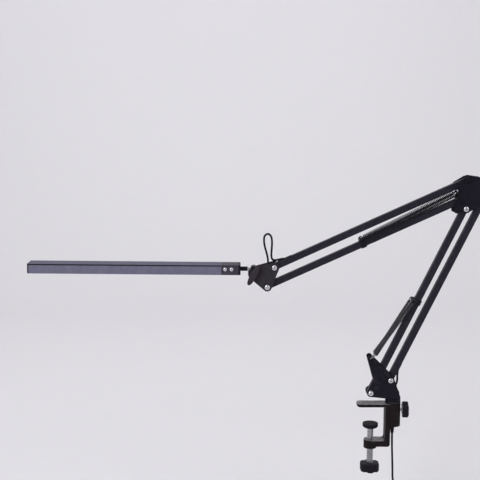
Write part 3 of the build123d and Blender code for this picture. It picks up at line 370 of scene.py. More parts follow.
dark_steel = finish(
    "dark_steel", (0.016, 0.015, 0.019), (0.024, 0.022, 0.028), (0.36, 0.52), 2200.0, 0.10, 0.02,
    Metallic=0.5, Specular_IOR_Level=0.15,
)
bright_chrome = finish(
    "bright_chrome", (0.62, 0.61, 0.64), (0.52, 0.51, 0.54), (0.14, 0.28), 1500.0, 0.05, 0.01, Metallic=1.0,
)
plain_steel = finish(
    "plain_steel", (0.46, 0.455, 0.46), (0.36, 0.355, 0.36), (0.26, 0.42), 1300.0, 0.10, 0.02, Metallic=1.0,
)
bar_anodised = finish(
    "bar_anodised", (0.129, 0.126, 0.184), (0.143, 0.139, 0.201), (0.50, 0.64), 900.0, 0.10, 0.02,
    stretch=(0.02, 1, 1), rub=(0.30, 0.30, 0.33), reach=0.3, Metallic=0.2, Specular_IOR_Level=0.05,
)
block_anodised = finish(
    "block_anodised", (0.042, 0.035, 0.048), (0.052, 0.044, 0.059), (0.42, 0.56), 1900.0, 0.14, 0.03,
    rub=(0.22, 0.21, 0.22), reach=0.35, dust_and_top_light=0.03, Metallic=0.30, Specular_IOR_Level=0.15,
)
diffuser_milk = finish(
    "diffuser_milk", (0.80, 0.80, 0.79), (0.84, 0.84, 0.83), (0.36, 0.50), 700.0, 0.35, 0.10,
    stretch=(0.01, 1, 1),
)
board_lacquer = finish(
    "board_lacquer", (0.76, 0.77, 0.75), (0.70, 0.71, 0.69), (0.22, 0.34), 1200.0, 0.08, 0.02,
)
led_phosphor = finish(
    "led_phosphor", (0.72, 0.56, 0.12), (0.78, 0.63, 0.20), (0.30, 0.45), 2500.0, 0.15, 0.03,
)

MATERIAL_OF_SLOT = {
    "cast_black": cast_paint,
    "painted_black": plate_paint,
    "plastic_black": moulded_black,
    "nylon_black": nylon_black,
    "rubber_black": rubber_black,
    "cord_black": cord_sheath,
    "spring_black": spring_steel,
    "chrome": bright_chrome,
    "steel": plain_steel,
    "bar_grey": bar_anodised,
    "bar_dark": block_anodised,
    "diffuser_white": diffuser_milk,
    "board_white": board_lacquer,
    "led_yellow": led_phosphor,
}


# Making pieces

def piece(name, shape, replaced=(), body=None, material=None, smooth=40.0, slot=None):
    """An object from a bmesh or a mesh. It stands for the nodes named, if any, and takes their slot."""
    if isinstance(shape, bmesh.types.BMesh):
        mesh = bpy.data.meshes.new(name)
        shape.to_mesh(mesh)
        shape.free()
    else:
        mesh = shape
    mesh.polygons.foreach_set("use_smooth", [True] * len(mesh.polygons))
    mesh.set_sharp_from_angle(angle=math.radians(smooth))
    thing = bpy.data.objects.new(name, mesh)
    scene.collection.objects.link(thing)
    slot = slot or slot_of[replaced[0]]
    mesh.materials.clear()
    mesh.materials.append(material or MATERIAL_OF_SLOT[slot])
    if replaced:
        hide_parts(*replaced)
    if body:
        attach(thing, body)
    return thing


def body_of(node):
    """The moving body that a solid belongs to."""
    return nodes[node]["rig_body"]


def corners_in(made):
    """The vertices among what a bmesh operator made."""
    return [item for item in made if isinstance(item, bmesh.types.BMVert)]


def everything(bm):
    """All that a bmesh holds, for an operator that asks for geometry."""
    return bm.verts[:] + bm.edges[:] + bm.faces[:]


def thickened(bm, tall):
    """A flat bmesh drawn up +Z into a solid, by millimetres."""
    raised = bmesh.ops.extrude_face_region(bm, geom=bm.faces[:])["geom"]
    bmesh.ops.translate(bm, vec=mm(0, 0, tall), verts=corners_in(raised))
    bmesh.ops.recalc_face_normals(bm, faces=bm.faces)


def turned(profile):
    """A body of revolution about Z from pairs of radius and height in millimetres."""
    bm = bmesh.new()
    points = [bm.verts.new(mm(radius, 0, height)) for radius, height in profile]
    lines = [bm.edges.new(pair) for pair in zip(points, points[1:])]
    bmesh.ops.spin(
        bm, geom=points + lines, cent=(0, 0, 0), axis=(0, 0, 1), angle=math.tau, steps=ROUND_STEPS,
        use_merge=True,
    )
    bmesh.ops.remove_doubles(bm, verts=bm.verts, dist=0.001 * MM)
    bmesh.ops.recalc_face_normals(bm, faces=bm.faces)
    return bm


def combined(body, tool, operation):
    """One bmesh cut by, kept inside or joined with another."""
    things = []
    for shape in (body, tool):
        mesh = bpy.data.meshes.new("blank")
        shape.to_mesh(mesh)
        shape.free()
        things.append(bpy.data.objects.new("blank", mesh))
        scene.collection.objects.link(things[-1])
    cut = things[0].modifiers.new("cut", "BOOLEAN")
    cut.object, cut.operation, cut.solver = things[1], operation, "EXACT"
    graph = bpy.context.evaluated_depsgraph_get()
    result = bpy.data.meshes.new_from_object(things[0].evaluated_get(graph))
    bm = bmesh.new()
    bm.from_mesh(result)
    bmesh.ops.dissolve_degenerate(bm, dist=0.002 * MM, edges=bm.edges)
    for thing in things:
        bpy.data.objects.remove(thing)
    bpy.data.meshes.remove(result)
    return bm


def gathered(*placed_shapes):
    """Copies of shapes, each moved by its matrix, in one bmesh."""
    bm = bmesh.new()
    for shape, matrix in placed_shapes:
        mesh = bpy.data.meshes.new("copy")
        shape.to_mesh(mesh)
        mesh.transform(matrix)
        bm.from_mesh(mesh)
        bpy.data.meshes.remove(mesh)
    return bm


def facing(place, direction):
    """The matrix that takes a shape built up +Z to a place, with its top towards a direction."""
    return Matrix.Translation(place) @ Vector(direction).to_track_quat("Z", "Y").to_matrix().to_4x4()


def twist(degrees):
    """A turn about the Z that a shape is built on."""
    return Matrix.Rotation(math.radians(degrees), 4, "Z")


def eased(node, edge, material=None):
    """The solid's own shape with its sharp edges broken by a small round."""
    bm = bmesh.new()
    bm.from_mesh(nodes[node].data)
    bmesh.ops.remove_doubles(bm, verts=bm.verts, dist=0.002 * MM)
    bmesh.ops.dissolve_limit(bm, angle_limit=math.radians(0.5), verts=bm.verts, edges=bm.edges)
    corners = [
        line
        for line in bm.edges
        if len(line.link_faces) == 2 and line.calc_face_angle() > math.radians(30.0)
    ]
    bmesh.ops.bevel(
        bm, geom=corners, offset=edge * MM, offset_type="OFFSET", segments=2, profile=0.5,
        affect="EDGES", clamp_overlap=True, material=-1,
    )
    thing = piece(node + "_eased", bm, (node,), body_of(node), material, smooth=50.0)
    level = thing.modifiers.new("even_shading", "WEIGHTED_NORMAL")
    level.keep_sharp = True
    return thing


# Cords: smooth splines along the solids' routes, drawn in at the elbow to clear the lower tube

def curve_of(name, kind, points):
    """A curve with one spline of a kind over the points."""
    curve = bpy.data.curves.new(name, "CURVE")
    curve.dimensions = "3D"
    curve.use_fill_caps = True
    spline = curve.splines.new(kind)
    spline.points.add(len(points) - 1)
    for control, point in zip(spline.points, points):
        control.co = (*point, 1)
    return curve


def spline_curve(name, points):
    """A smooth curve from the first point to the last, guided by those between."""
    curve = curve_of(name, "NURBS", points)
    curve.resolution_u = 6
    curve.splines[0].order_u = 3
    curve.splines[0].use_endpoint_u = True
    return curve


def read_line(curve):
    """Points along a curve that has no bevel, in order."""
    thing = bpy.data.objects.new("line", curve)
    mesh = bpy.data.meshes.new_from_object(thing)
    points = [vertex.co.copy() for vertex in mesh.vertices]
    bpy.data.objects.remove(thing)
    bpy.data.meshes.remove(mesh)
    return points


def tube_along(name, points, radius, sides=3):
    """A round closed tube along points, as a mesh."""
    curve = curve_of(name, "POLY", points)
    curve.bevel_depth = radius * MM
    curve.bevel_resolution = sides
    thing = bpy.data.objects.new(name, curve)
    mesh = bpy.data.meshes.new_from_object(thing)
    bpy.data.objects.remove(thing)
    bpy.data.curves.remove(curve)
    mesh.name = name
    return mesh


def nearest(line, place):
    """The index of the point of a line that lies nearest to a place."""
    return min(range(len(line)), key=lambda i: (line[i] - place).length)


def near(point, x, z):
    """A point in the arm's middle plane, from a pivot."""
    return point + mm(x, 0, z)


def beside(point, along, out, place, offset):
    """A point so far along a tube from a pivot, and so far out from the tube's middle line."""
    return point + along * place * MM + out * offset * MM


def bending_wire(name, points, node):
    """A stretch of wire at the joint between two bodies, made in place of its solid as a fixed mesh."""
    thing = piece(name, tube_along(name, points, CORD_R), (node,))
    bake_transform(thing)


head_route = [
    rod + rod_dir * 8 * MM,
    near(upper_head, -16.4, -2.2),
    near(upper_head, -10.4, 1.6),
    near(upper_head, -8.9, 9.2),
    near(upper_head, -11.2, 20.4),
    near(upper_head, -14.6, 31.4),
    near(upper_head, -15.8, 40.4),
    near(upper_head, -15.0, 48.0),
    near(upper_head, -9.2, 51.4),
    near(upper_head, -4.2, 46.8),
    near(upper_head, -3.2, 37.4),
    near(upper_head, -4.0, 24.8),
    near(upper_head, -4.6, 16.2),
    near(upper_head, -2.8, 10.2),
    beside(upper_head, fore_dir, fore_up, 8.5, 7.6),
    beside(upper_head, fore_dir, fore_up, 16.5, 6.2),
    beside(upper_head, fore_dir, fore_up, 24.0, 3.0),
    beside(upper_head, fore_dir, fore_up, WIRE_IN_TUBE, WIRE_OFFSET),
]
head_line = read_line(spline_curve("head_route", head_route))
leg = nearest(head_line, near(upper_head, -11.2, 20.4))
bending_wire(
    "head_wire_rod_end", head_line[: leg + 1], "head_wire",
)
bending_wire(
    "head_wire_loop", head_line[leg:], "head_wire",
)

elbow_route = [
    beside(upper_elbow, -fore_dir, -fore_up, WIRE_IN_TUBE, WIRE_OFFSET),
    beside(upper_elbow, -fore_dir, -fore_up, 23.0, 2.8),
    beside(upper_elbow, -fore_dir, -fore_up, 14.5, 6.2),
    near(upper_elbow, -2.2, -11.0),
    near(upper_elbow, 4.4, -16.6),
    near(rear_top, -16.4, -3.4),
    near(rear_top, -12.6, -11.4),
    beside(rear_top, -lower_dir, -lower_back, 21.5, 3.6),
    beside(rear_top, -lower_dir, -lower_back, WIRE_IN_TUBE, WIRE_OFFSET),
]
elbow_line = read_line(spline_curve("elbow_route", elbow_route))
turn_in = nearest(elbow_line, near(upper_elbow, 2.0, -14.8))
bending_wire(
    "elbow_wire_fore", elbow_line[: turn_in + 1], "elbow_wire",
)
bending_wire(
    "elbow_wire_rear", elbow_line[turn_in:], "elbow_wire",
)

base_route = [
    beside(rear_foot, lower_dir, lower_back, WIRE_IN_TUBE, WIRE_OFFSET),
    beside(rear_foot, lower_dir, lower_back, 24.0, 2.8),
    beside(rear_foot, lower_dir, lower_back, 15.5, 6.0),
    near(rear_foot, 11.6, 5.2),
    near(rear_foot, 11.8, -2.4),
    near(rear_foot, 10.2, -9.2),
    near(rear_foot, 6.9, -15.0),
    Vector((POST_X * MM, 0, rear_foot.z - 20.6 * MM)),
    mm(POST_X, 0, 10.0),
]
base_line = read_line(spline_curve("base_route", base_route))
bending_wire(
    "base_wire_bend", base_line, "base_wire"
)

for node, body, start, along, outs in (
    ("upper_wire", "upper", upper_head, fore_dir, (fore_up, -fore_up)),
    ("rear_wire", "rear", rear_foot, lower_dir, (lower_back, -lower_back)),
):
    inset = WIRE_IN_TUBE + WIRE_JOIN_GAP
    ends = [beside(start, along, out, place, WIRE_OFFSET) for out, place in zip(outs, (inset, ARM - inset))]
    piece(node + "_run", tube_along(node + "_run", ends, CORD_R), (node,), body)

# Supply lead: straight out of the post, down, and its spare length in a tied coil
COIL_OUTER = 23.35
lead_route = [
    mm(POST_X, 0, 10.0),
    mm(POST_X, 0, -47.0),
    mm(34.6, -0.3, -66.0),
    mm(35.2, -1.5, -84.0),
    mm(35.6, -3.4, -100.0),
    mm(35.6, -4.9, -109.0),
    mm(35.8, -5.55, -117.05),
    mm(37.6, -5.55, -121.45),
    mm(41.0, -5.55, -124.75),
    mm(45.3, -5.55, -126.65),
    mm(49.6, -5.55, -126.65),
]


def coil_point(turn):
    """A point of the coil: it winds in and out in layers, and climbs half a step at each layer's end."""
    layer = min(int(turn // COIL_TURNS), COIL_LAYERS - 1)
    done = turn - COIL_TURNS * layer
    radius = COIL_OUTER - COIL_STEP * (done if layer % 2 == 0 else COIL_TURNS - done)
    climb = 0.0
    if layer and done < 0.25:
        climb = 2 * done - 0.5
    elif layer < COIL_LAYERS - 1 and done > COIL_TURNS - 0.25:
        climb = 2 * (done - COIL_TURNS) + 0.5
    angle = math.pi / 2 - math.tau * turn
    return mm(
        COIL_X + radius * math.cos(angle),
        COIL_STEP * (layer + climb) - 1.5 * COIL_STEP,
        COIL_Z + radius * math.sin(angle),
    )


STEPS_PER_TURN = 24
coil_steps = int((COIL_TURNS * COIL_LAYERS + 0.25) * STEPS_PER_TURN)
for step in range(1, coil_steps + 1):
    lead_route.append(coil_point(step / STEPS_PER_TURN))
lead_end = coil_point(coil_steps / STEPS_PER_TURN)
for drop in (9.0, COIL_TAIL):
    lead_route.append(lead_end - mm(0, 0, drop))
lead_curve = spline_curve("supply_lead_cord", lead_route)
lead_line = read_line(lead_curve)
lead_curve.bevel_depth = CORD_R * MM
lead_curve.bevel_resolution = 4
lead_curve.materials.append(cord_sheath)
lead = bpy.data.objects.new("supply_lead_cord", lead_curve)
scene.collection.objects.link(lead)
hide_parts("supply_lead", "lead_coil")
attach(lead, "clamp")


# Springs: close coils of wire with a hook at one end and a ring at the other

RING_STEPS, TURN_STEPS = 22, 14
RING_OPENING = 0.55
RING_SWEEP = math.tau - RING_OPENING


def spring_line(start, end, y, pitch, straight, wire):
    """Points along a tension spring: a hook in a plate's hole, a straight, the turns, a ring on a pin."""
    start, end = start.copy(), end.copy()
    start.y = end.y = y * MM
    ring = SPRING_R * MM
    axis = (end - start).normalized()
    depth = Vector((0, -math.copysign(1, y), 0))
    across = axis.cross(depth)
    bend = start + axis * 2 * ring
    first = bend + axis * straight * MM
    last = end + axis * ((PIN_R + wire / 2) * MM - 2 * ring)
    points = []
    for step in range(RING_STEPS):
        angle = RING_SWEEP * step / RING_STEPS - RING_SWEEP
        points.append(bend - axis * ring + (axis * math.cos(angle) - depth * math.sin(angle)) * ring)
    turns = round((last - first).length / (pitch * MM))
    count = int((turns + 0.25) * TURN_STEPS)
    for step in range(count + 1):
        turn = -0.25 + (turns + 0.25) * step / count
        swell = min(1.0, (turn + 0.25) / 0.5, (turns - turn) / 0.5)
        swell = math.sin(swell * math.pi / 2)
        angle = math.tau * turn
        radial = across * math.cos(angle) + depth * math.sin(angle)
        points.append(first.lerp(last, step / count) + radial * ring * swell)
    for step in range(1, RING_STEPS + 1):
        angle = RING_SWEEP * step / RING_STEPS
        points.append(last + axis * ring + (-axis * math.cos(angle) - across * math.sin(angle)) * ring)
    return points


base_hooks = near(front_foot, -1.4, 54.6), near(front_foot, 4.2, 49.0)
elbow_hook = near(upper_elbow, -11.6, -15.9)
lower_pin = beside(front_foot, lower_dir, -lower_back, COLLAR_FROM_PIVOT, PIN_OUT)
fore_pin = beside(lower_elbow, -fore_dir, fore_up, COLLAR_FROM_PIVOT, PIN_OUT)

# Spans along each spring, from and to, in millimetres from its hook
LOWER_BEND, FORE_BEND = (-8.0, 80.0), (-6.0, 38.0)
lower_set = ("base", "front"), spring_steel, LOWER_WIRE, LOWER_PITCH, LOWER_BEND
fore_set = ("elbow", "lower"), dark_steel, FORE_WIRE, FORE_PITCH, FORE_BEND
for node, hook, pin, y, straight, (bodies, steel, wire, pitch, bend) in (
    ("lower_spring_near", base_hooks[0], lower_pin, -SPRING_Y, 4.0, lower_set),
    ("lower_spring_far", base_hooks[1], lower_pin, SPRING_Y, 1.0, lower_set),
    ("forearm_spring_near", elbow_hook, fore_pin, -SPRING_Y, 0.0, fore_set),
    ("forearm_spring_far", elbow_hook, fore_pin, SPRING_Y, 0.0, fore_set),
):
    line = spring_line(hook, pin, y, pitch, straight, wire)
    coil = piece(node + "_coil", tube_along(node, line, wire / 2, 1), (node,), None, steel, smooth=80.0)
    run = (pin - hook).normalized()
    # Painted highlight: the hook and straight at the start of each lower spring take bright plain steel,
    # standing for the light that catches them, while the coil is dark steel
    if steel is spring_steel:
        coil.data.materials.append(plain_steel)
        for face in coil.data.polygons:
            face.material_index = int((face.center - hook).dot(run) < (HOOK_HIGHLIGHT_LEN + straight) * MM)
    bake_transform(coil)


# Fasteners, threads and knobs

def recess_bar(wide, long, deep, top, turn):
    """One bar of a screw's cross, narrowing downwards."""
    bm = bmesh.new()
    bmesh.ops.create_cube(bm, size=1.0)
    bmesh.ops.scale(bm, vec=mm(long, wide, deep + 1.0), verts=bm.verts)
    floor = [corner for corner in bm.verts if corner.co.z < 0]
    bmesh.ops.scale(bm, vec=(0.5, 0.72, 1.0), verts=floor)
    bmesh.ops.translate(bm, vec=mm(0, 0, top + 0.5 - deep / 2), verts=bm.verts)
    bmesh.ops.rotate(bm, cent=(0, 0, 0), matrix=Matrix.Rotation(turn, 3, "Z"), verts=bm.verts)
    return bm


def pan_screw(radius, tall, shank_r, shank):
    """A pan-head screw with a cross recess: its head sits on Z 0 and its shank runs down."""
    bm = turned([
        (0, tall), (radius * 0.42, tall * 0.985), (radius * 0.70, tall * 0.90), (radius * 0.88, tall * 0.72),
        (radius * 0.97, tall * 0.45), (radius, tall * 0.18), (radius * 0.985, 0), (shank_r, 0),
        (shank_r, -shank), (0, -shank),
    ])
    for turn in (0.0, math.pi / 2):
        bar = recess_bar(radius * 0.26, radius * 1.22, tall * 0.62, tall, turn)
        bm = combined(bm, bar, "DIFFERENCE")
    return bm


def hex_nut(radius, tall):
    """A hexagon nut with turned corners, from Z 0 up."""
    bm = bmesh.new()
    bmesh.ops.create_circle(bm, cap_ends=True, segments=6, radius=radius * MM)
    thickened(bm, tall)
    blank = turned([
        (0, 0), (radius * 0.87, 0), (radius * 1.02, tall * 0.14), (radius * 1.02, tall * 0.80),
        (radius * 0.86, tall), (0, tall),
    ])
    return combined(bm, blank, "INTERSECT")


THREAD_LEAD = 0.06  # of a turn: keeps the corners of the profile off the end cuts


def threaded(radius, pitch, deep, length, steps=28):
    """A right-hand thread about Z from 0 to length: a zigzag spun as it climbs, cut square at both ends."""
    bm = bmesh.new()
    profile = []
    for turn in range(-1, int(length / pitch) + 2):
        for share, inset in ((0.0, deep), (0.18, deep), (0.42, 0.0), (0.68, 0.0), (0.92, deep)):
            profile.append(bm.verts.new(mm(radius - inset, 0, (turn + share - THREAD_LEAD) * pitch)))
    lines = [bm.edges.new(pair) for pair in zip(profile, profile[1:])]
    bmesh.ops.spin(
        bm, geom=profile + lines, cent=(0, 0, 0), axis=(0, 0, 1), angle=math.tau, steps=steps,
        dvec=mm(0, 0, pitch / steps),
    )
    bmesh.ops.remove_doubles(bm, verts=bm.verts, dist=0.002 * MM)
    for height, outward in ((0.0, -1), (length, 1)):
        cut = bmesh.ops.bisect_plane(
            bm, geom=everything(bm), plane_co=mm(0, 0, height), plane_no=(0, 0, outward), clear_outer=True,
        )["geom_cut"]
        rim = [item for item in cut if isinstance(item, bmesh.types.BMEdge)]
        bmesh.ops.edgeloop_fill(bm, edges=rim)
    bmesh.ops.recalc_face_normals(bm, faces=bm.faces)
    return bm


def lobed_grip(radius, thick, cap_r, hollows=6):
    """A hand knob from Z 0 up: hollows round its rim, rounded edges and a shallow cap on its face."""
    bm = bmesh.new()
    bmesh.ops.create_circle(bm, cap_ends=True, segments=120, radius=radius * MM)
    for corner in bm.verts:
        angle = math.atan2(corner.co.y, corner.co.x)
        off = (angle + math.pi / hollows) % (math.tau / hollows) - math.pi / hollows
        reach = 0.26 ** 2 - (1.1 * math.sin(off)) ** 2
        if reach > 0:
            corner.co *= min(1.0, 1.1 * math.cos(off) - math.sqrt(reach))
    thickened(bm, thick)
    rims = [line for line in bm.edges if abs(line.verts[0].co.z - line.verts[1].co.z) < 0.1 * MM]
    bmesh.ops.bevel(
        bm, geom=rims, offset=1.3 * MM, offset_type="OFFSET", segments=4, profile=0.5, affect="EDGES",
        clamp_overlap=True, material=-1,
    )
    seat = turned([(0, thick - 0.7), (cap_r + 0.4, thick - 0.7), (cap_r + 0.7, thick + 1), (0, thick + 1)])
    bm = combined(bm, seat, "DIFFERENCE")
    cap = turned([
        (0, thick - 0.15), (cap_r * 0.6, thick - 0.22), (cap_r * 0.92, thick - 0.4), (cap_r, thick - 0.6),
        (cap_r, thick - 0.9), (0, thick - 0.9),
    ])
    return gathered((bm, Matrix()), (cap, Matrix()))


shank = 2 * PLATE_OUT + NUT_T
bolt = pan_screw(HEAD_R, HEAD_T, BOLT_R, shank)
nut = hex_nut(NUT_R, NUT_T)
bolt_tip = threaded(BOLT_R, FINE_PITCH, 0.35, BOLT_END, 20)
for node, pivots in (
    ("base_bolts", ((front_foot, 20), (rear_foot, 65))),
    ("elbow_bolts", ((front_top, 38), (rear_top, 80))),
    ("elbow_black_bolts", ((upper_elbow, 10), (lower_elbow, 52))),
    ("head_bolts", ((upper_head, 30), (lower_head, 71))),
):
    stack = []
    for place, turn in pivots:
        stack.append((bolt, facing(place - mm(0, PLATE_OUT, 0), (0, -1, 0)) @ twist(turn)))
        stack.append((nut, facing(place + mm(0, PLATE_OUT, 0), (0, 1, 0)) @ twist(turn)))
        stack.append((bolt_tip, facing(place + mm(0, PLATE_OUT + NUT_T, 0), (0, 1, 0))))
    piece(node + "_driven", gathered(*stack), (node,), body_of(node))

end_screw = pan_screw(END_SCREW_R, END_SCREW_T, END_SCREW_SHANK_R, END_SCREW_SHANK)
piece(
    "end_screws_driven",
    gathered(*(
        (end_screw, bar_place @ facing(mm(x, -BAR_FACE, END_SCREW_Z), (0, -1, 0)) @ twist(turn))
        for x, turn in zip(END_SCREW_X, (15, 58))
    )),
    ("end_screws",),
    "bar",
)

# A rivet closes the spare hole in the lower lobe of each elbow plate
toe = near(lower_elbow, -4.9, -14.2)
rivet = turned([(0, 1.0), (1.2, 0.9), (2.1, 0.55), (2.5, 0.0), (1.55, 0.0), (1.55, -1.6), (0, -1.6)])
piece(
    "elbow_rivets",
    gathered(*((rivet, facing(toe + mm(0, y * PLATE_OUT, 0), (0, y, 0))) for y in (-1, 1))),
    (), "elbow", plate_paint, slot="painted_black",
)

low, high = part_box("lock_screw")
lock_z = (low.z + high.z) / 2
thread = threaded(LOCK_SCREW_R, FINE_PITCH, 0.4, (high.x - low.x) / MM)
piece(
    "lock_screw_threaded",
    gathered((thread, facing((low.x, 0, lock_z), (1, 0, 0)))),
    ("lock_screw",),
    "lock",
)
low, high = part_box("lock_knob")
grip = lobed_grip(LOCK_R, (high.x - low.x) / MM, LOCK_CAP_R)
piece(
    "lock_knob_grip",
    gathered((grip, facing((low.x, 0, lock_z), (1, 0, 0)))),
    ("lock_knob",),
    "lock",
)
low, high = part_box("clamp_handle")
grip = lobed_grip(HANDLE_R, (high.z - low.z) / MM, HANDLE_CAP_R)
piece(
    "clamp_handle_grip",
    gathered((grip, facing((0, 0, high.z), (0, 0, -1)))),
    ("clamp_handle",),
    "screw",
)
low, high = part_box("clamp_screw")
foot_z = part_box("clamp_foot")[0].z
thread = threaded(SCREW_R, SCREW_PITCH, 1.2, (foot_z - low.z) / MM - 0.6)
neck = turned([(0, -1.2), (3.5, -1.2), (3.5, 3.2), (3.1, 3.6), (0, 3.6)])
piece(
    "clamp_screw_threaded",
    gathered((thread, facing((0, 0, low.z), (0, 0, 1))), (neck, Matrix.Translation((0, 0, foot_z)))),
    ("clamp_screw",),
    "screw",
)

# Wing knob: a long leaf on a round hub
wing_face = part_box("wing_knob")[0].y
leaf = bmesh.new()
bmesh.ops.create_uvsphere(
    leaf, u_segments=40, v_segments=28, radius=1.0, matrix=Matrix.Rotation(math.pi / 2, 4, "Y")
)
for point in leaf.verts:
    along, over, up = point.co
    swell = 0.70 + 0.30 * math.exp(-((along * WING_HALF_LEN / 7.0) ** 2))
    point.co = (
        math.copysign(abs(along) ** 0.94, along) * WING_HALF_LEN * MM,
        math.copysign(abs(over) ** 0.86, over) * WING_HALF_W * MM,
        math.copysign(abs(up) ** 0.70, up) * WING_HALF_T * swell * MM,
    )
bmesh.ops.recalc_face_normals(leaf, faces=leaf.faces)
hub = turned([(0, -7.4), (5.0, -7.4), (5.4, -7.0), (5.4, -3.2), (4.6, -1.6), (0, -1.2)])
wing = combined(leaf, hub, "UNION")
lean = math.radians(WING_LEAN)
wing_turn = Matrix((
    (math.sin(lean), -math.cos(lean), 0, tilt.x),
    (0, 0, -1, wing_face + WING_HALF_T * MM),
    (math.cos(lean), math.sin(lean), 0, tilt.z),
    (0, 0, 0, 1),
))
piece("wing_knob_leaf", gathered((wing, wing_turn)), ("wing_knob",), "knob", wing_black_painted_light, smooth=60.0)

# Painted shade: a dark strip in the groove along each long side of the bar, standing just proud of it, stands
# for the groove's shade
groove_shade_strip = bmesh.new()
for side in (-1, 1):
    for thick, tall, middle in ((1.0, 1.15, BAR_FACE - 0.4), (0.25, 1.8, BAR_FACE + 0.125)):
        made = bmesh.ops.create_cube(groove_shade_strip, size=1.0)["verts"]
        bmesh.ops.scale(groove_shade_strip, vec=mm(STRIP_LEN, thick, tall), verts=made)
        bmesh.ops.translate(groove_shade_strip, vec=mm(STRIP_MID, side * middle, GROOVE_Z), verts=made)
groove_shade_strip.transform(bar_place)
piece("bar_groove_shade_strips", groove_shade_strip, (), "bar", rubber_black, slot="rubber_black")

# Strain relief: a tapered sleeve with ribs
RIBS, RIB_DEEP = 5, 0.7
low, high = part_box("lead_relief")
tall = (high.z - low.z) / MM
sleeve = [(0, high.z / MM), (RELIEF_R, high.z / MM)]
for rib in range(RIBS):
    for share, inset in ((0.10, 0.0), (0.42, 0.0), (0.52, RIB_DEEP), (0.90, RIB_DEEP)):
        place = (rib + share) / RIBS
        radius = RELIEF_R - (RELIEF_R - RELIEF_TIP_R) * place - inset * (0.4 + 0.6 * place)
        sleeve.append((radius, high.z / MM - tall * place))
sleeve += [(RELIEF_TIP_R - 0.1, low.z / MM), (0, low.z / MM)]
piece(
    "lead_relief_ribbed",
    gathered((turned(sleeve), Matrix.Translation(mm(POST_X, 0, 0)))),
    ("lead_relief",),
    "clamp",
)


# The solids' own shapes with their edges broken
EDGE_OF_NODE = {
    "clamp_frame": 0.7,
    "jaw_pad": 0.25,
    "post_bush": 0.25,
    "lead_tie": 0.25,
    "plug_body": 0.9,
    "plug_shell": 0.3,
    "clamp_foot": 0.5,
    "foot_rubber": 0.3,
    "swivel_post": 0.3,
    "post_washer": 0.2,
    "base_plate_near": 0.3,
    "base_plate_far": 0.3,
    "base_spacers": 0.2,
    "front_tube": 0.15,
    "lower_collar": 0.2,
    "rear_tube": 0.15,
    "rear_grommet": 0.2,
    "elbow_plate_near": 0.3,
    "elbow_plate_far": 0.3,
    "elbow_spacers": 0.2,
    "upper_tube": 0.15,
    "upper_grommet": 0.2,
    "lower_tube": 0.15,
    "forearm_collar": 0.2,
    "head_plate_near": 0.3,
    "head_plate_far": 0.3,
    "head_spacers": 0.2,
    "tilt_bolt": 0.2,
    "tilt_block": 0.3,
    "lamp_rod": 0.15,
    "stem": 0.25,
    "end_block": 0.3,
    "bar_housing": 0.2,
    "end_cap": 0.25,
    "diffuser": 0.25,
}
OWN_FINISH = {
    "front_tube": tube_paint,
    "rear_tube": tube_paint,
    "upper_tube": tube_paint,
    "lower_tube": tube_paint,
    "head_plate_near": head_paint_painted_light,
    "head_plate_far": head_paint_painted_light,
}
shapes = {node: eased(node, edge, OWN_FINISH.get(node)) for node, edge in EDGE_OF_NODE.items()}

# The end block's right end is a black moulded facing
bm = bmesh.new()
bm.from_mesh(shapes["end_block"].data)
facing_start = bar_place @ mm(FACING_X, 0, 0)
bmesh.ops.bisect_plane(bm, geom=everything(bm), plane_co=facing_start, plane_no=rod_dir)
for face in bm.faces:
    face.material_index = int((face.calc_center_median() - facing_start).dot(rod_dir) > 0)
bm.to_mesh(shapes["end_block"].data)
bm.free()
shapes["end_block"].data.materials.append(moulded_black)

# The board and its LEDs stay as the solids are
for node in ("led_board", "leds"):
    nodes[node].data.materials.clear()
    nodes[node].data.materials.append(MATERIAL_OF_SLOT[slot_of[node]])


# Studio: a pale floor that runs up into a back wall, and soft lamps

FLOOR_HALF_X, FLOOR_HALF_Y, FLOOR_BACK = 6.0, 4.0, 1.6
SWEEP_R, WALL_TALL = 1.2, 5.0


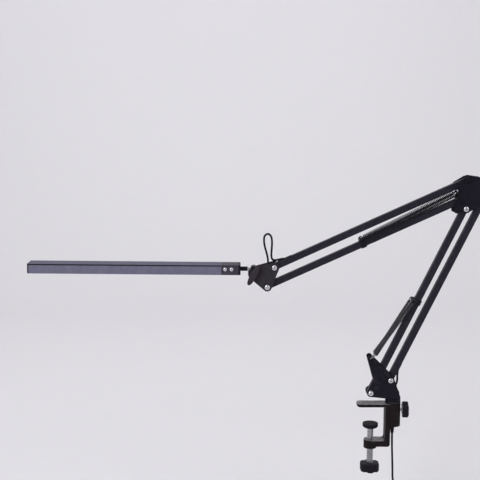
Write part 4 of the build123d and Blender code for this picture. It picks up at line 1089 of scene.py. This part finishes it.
def studio():
    """The floor, its round sweep upwards and the wall, in metres."""
    floor_z = cad_low.z - 2 * MM
    bm = bmesh.new()
    bmesh.ops.create_grid(bm, x_segments=1, y_segments=1, size=1.0)
    bmesh.ops.scale(bm, vec=(FLOOR_HALF_X, FLOOR_HALF_Y, 1.0), verts=bm.verts)
    bmesh.ops.translate(bm, vec=(0, FLOOR_BACK - FLOOR_HALF_Y, floor_z), verts=bm.verts)
    back = [line for line in bm.edges if all(end.co.y > 0 for end in line.verts)]
    raised = bmesh.ops.spin(
        bm, geom=back + [end for line in back for end in line.verts], axis=(1, 0, 0), angle=math.pi / 2,
        cent=(0, FLOOR_BACK, floor_z + SWEEP_R), steps=24,
    )["geom_last"]
    top = [item for item in raised if isinstance(item, bmesh.types.BMEdge)]
    wall = bmesh.ops.extrude_edge_only(bm, edges=top)["geom"]
    bmesh.ops.translate(bm, vec=(0, 0, WALL_TALL), verts=corners_in(wall))
    bmesh.ops.recalc_face_normals(bm, faces=bm.faces)
    mesh = bpy.data.meshes.new("studio_floor")
    bm.to_mesh(mesh)
    bm.free()
    mesh.polygons.foreach_set("use_smooth", [True] * len(mesh.polygons))
    mesh.materials.append(
        finish("studio_paper", (0.86, 0.845, 0.865), (0.87, 0.855, 0.875), (0.8, 0.9), 400.0, 0.05, 0.05)
    )
    floor = bpy.data.objects.new("studio_floor", mesh)
    scene.collection.objects.link(floor)
    floor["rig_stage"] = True


def softbox(name, place, target, size, power, colour=(1, 1, 1)):
    """A soft oblong lamp at a place, aimed at a target."""
    lamp = bpy.data.lights.new(name, "AREA")
    lamp.shape = "RECTANGLE"
    lamp.size, lamp.size_y = size
    lamp.energy = power
    lamp.color = colour
    thing = bpy.data.objects.new(name, lamp)
    scene.collection.objects.link(thing)
    thing.location = place
    thing.rotation_euler = (Vector(target) - Vector(place)).to_track_quat("-Z", "Y").to_euler()


studio()
MIDDLE = (-0.15, 0, 0.2)
softbox("key", (-1.8, -2.4, 1.5), MIDDLE, (1.8, 1.4), 52.0, (0.96, 0.98, 1.0))
softbox("fill", (1.8, -1.8, 1.2), MIDDLE, (1.6, 1.6), 17.0)
softbox("top", (-0.2, 0.5, 2.6), MIDDLE, (2.4, 1.2), 9.0)
softbox("backdrop", (-0.2, 0.7, 2.0), (-0.2, 2.8, 0.0), (3.0, 0.8), 13.0)
world = bpy.data.worlds.new("studio_air")
world.use_nodes = True
world.node_tree.nodes["Background"].inputs["Color"].default_value = (0.80, 0.80, 0.84, 1)
world.node_tree.nodes["Background"].inputs["Strength"].default_value = 0.45
scene.world = world

low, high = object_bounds()
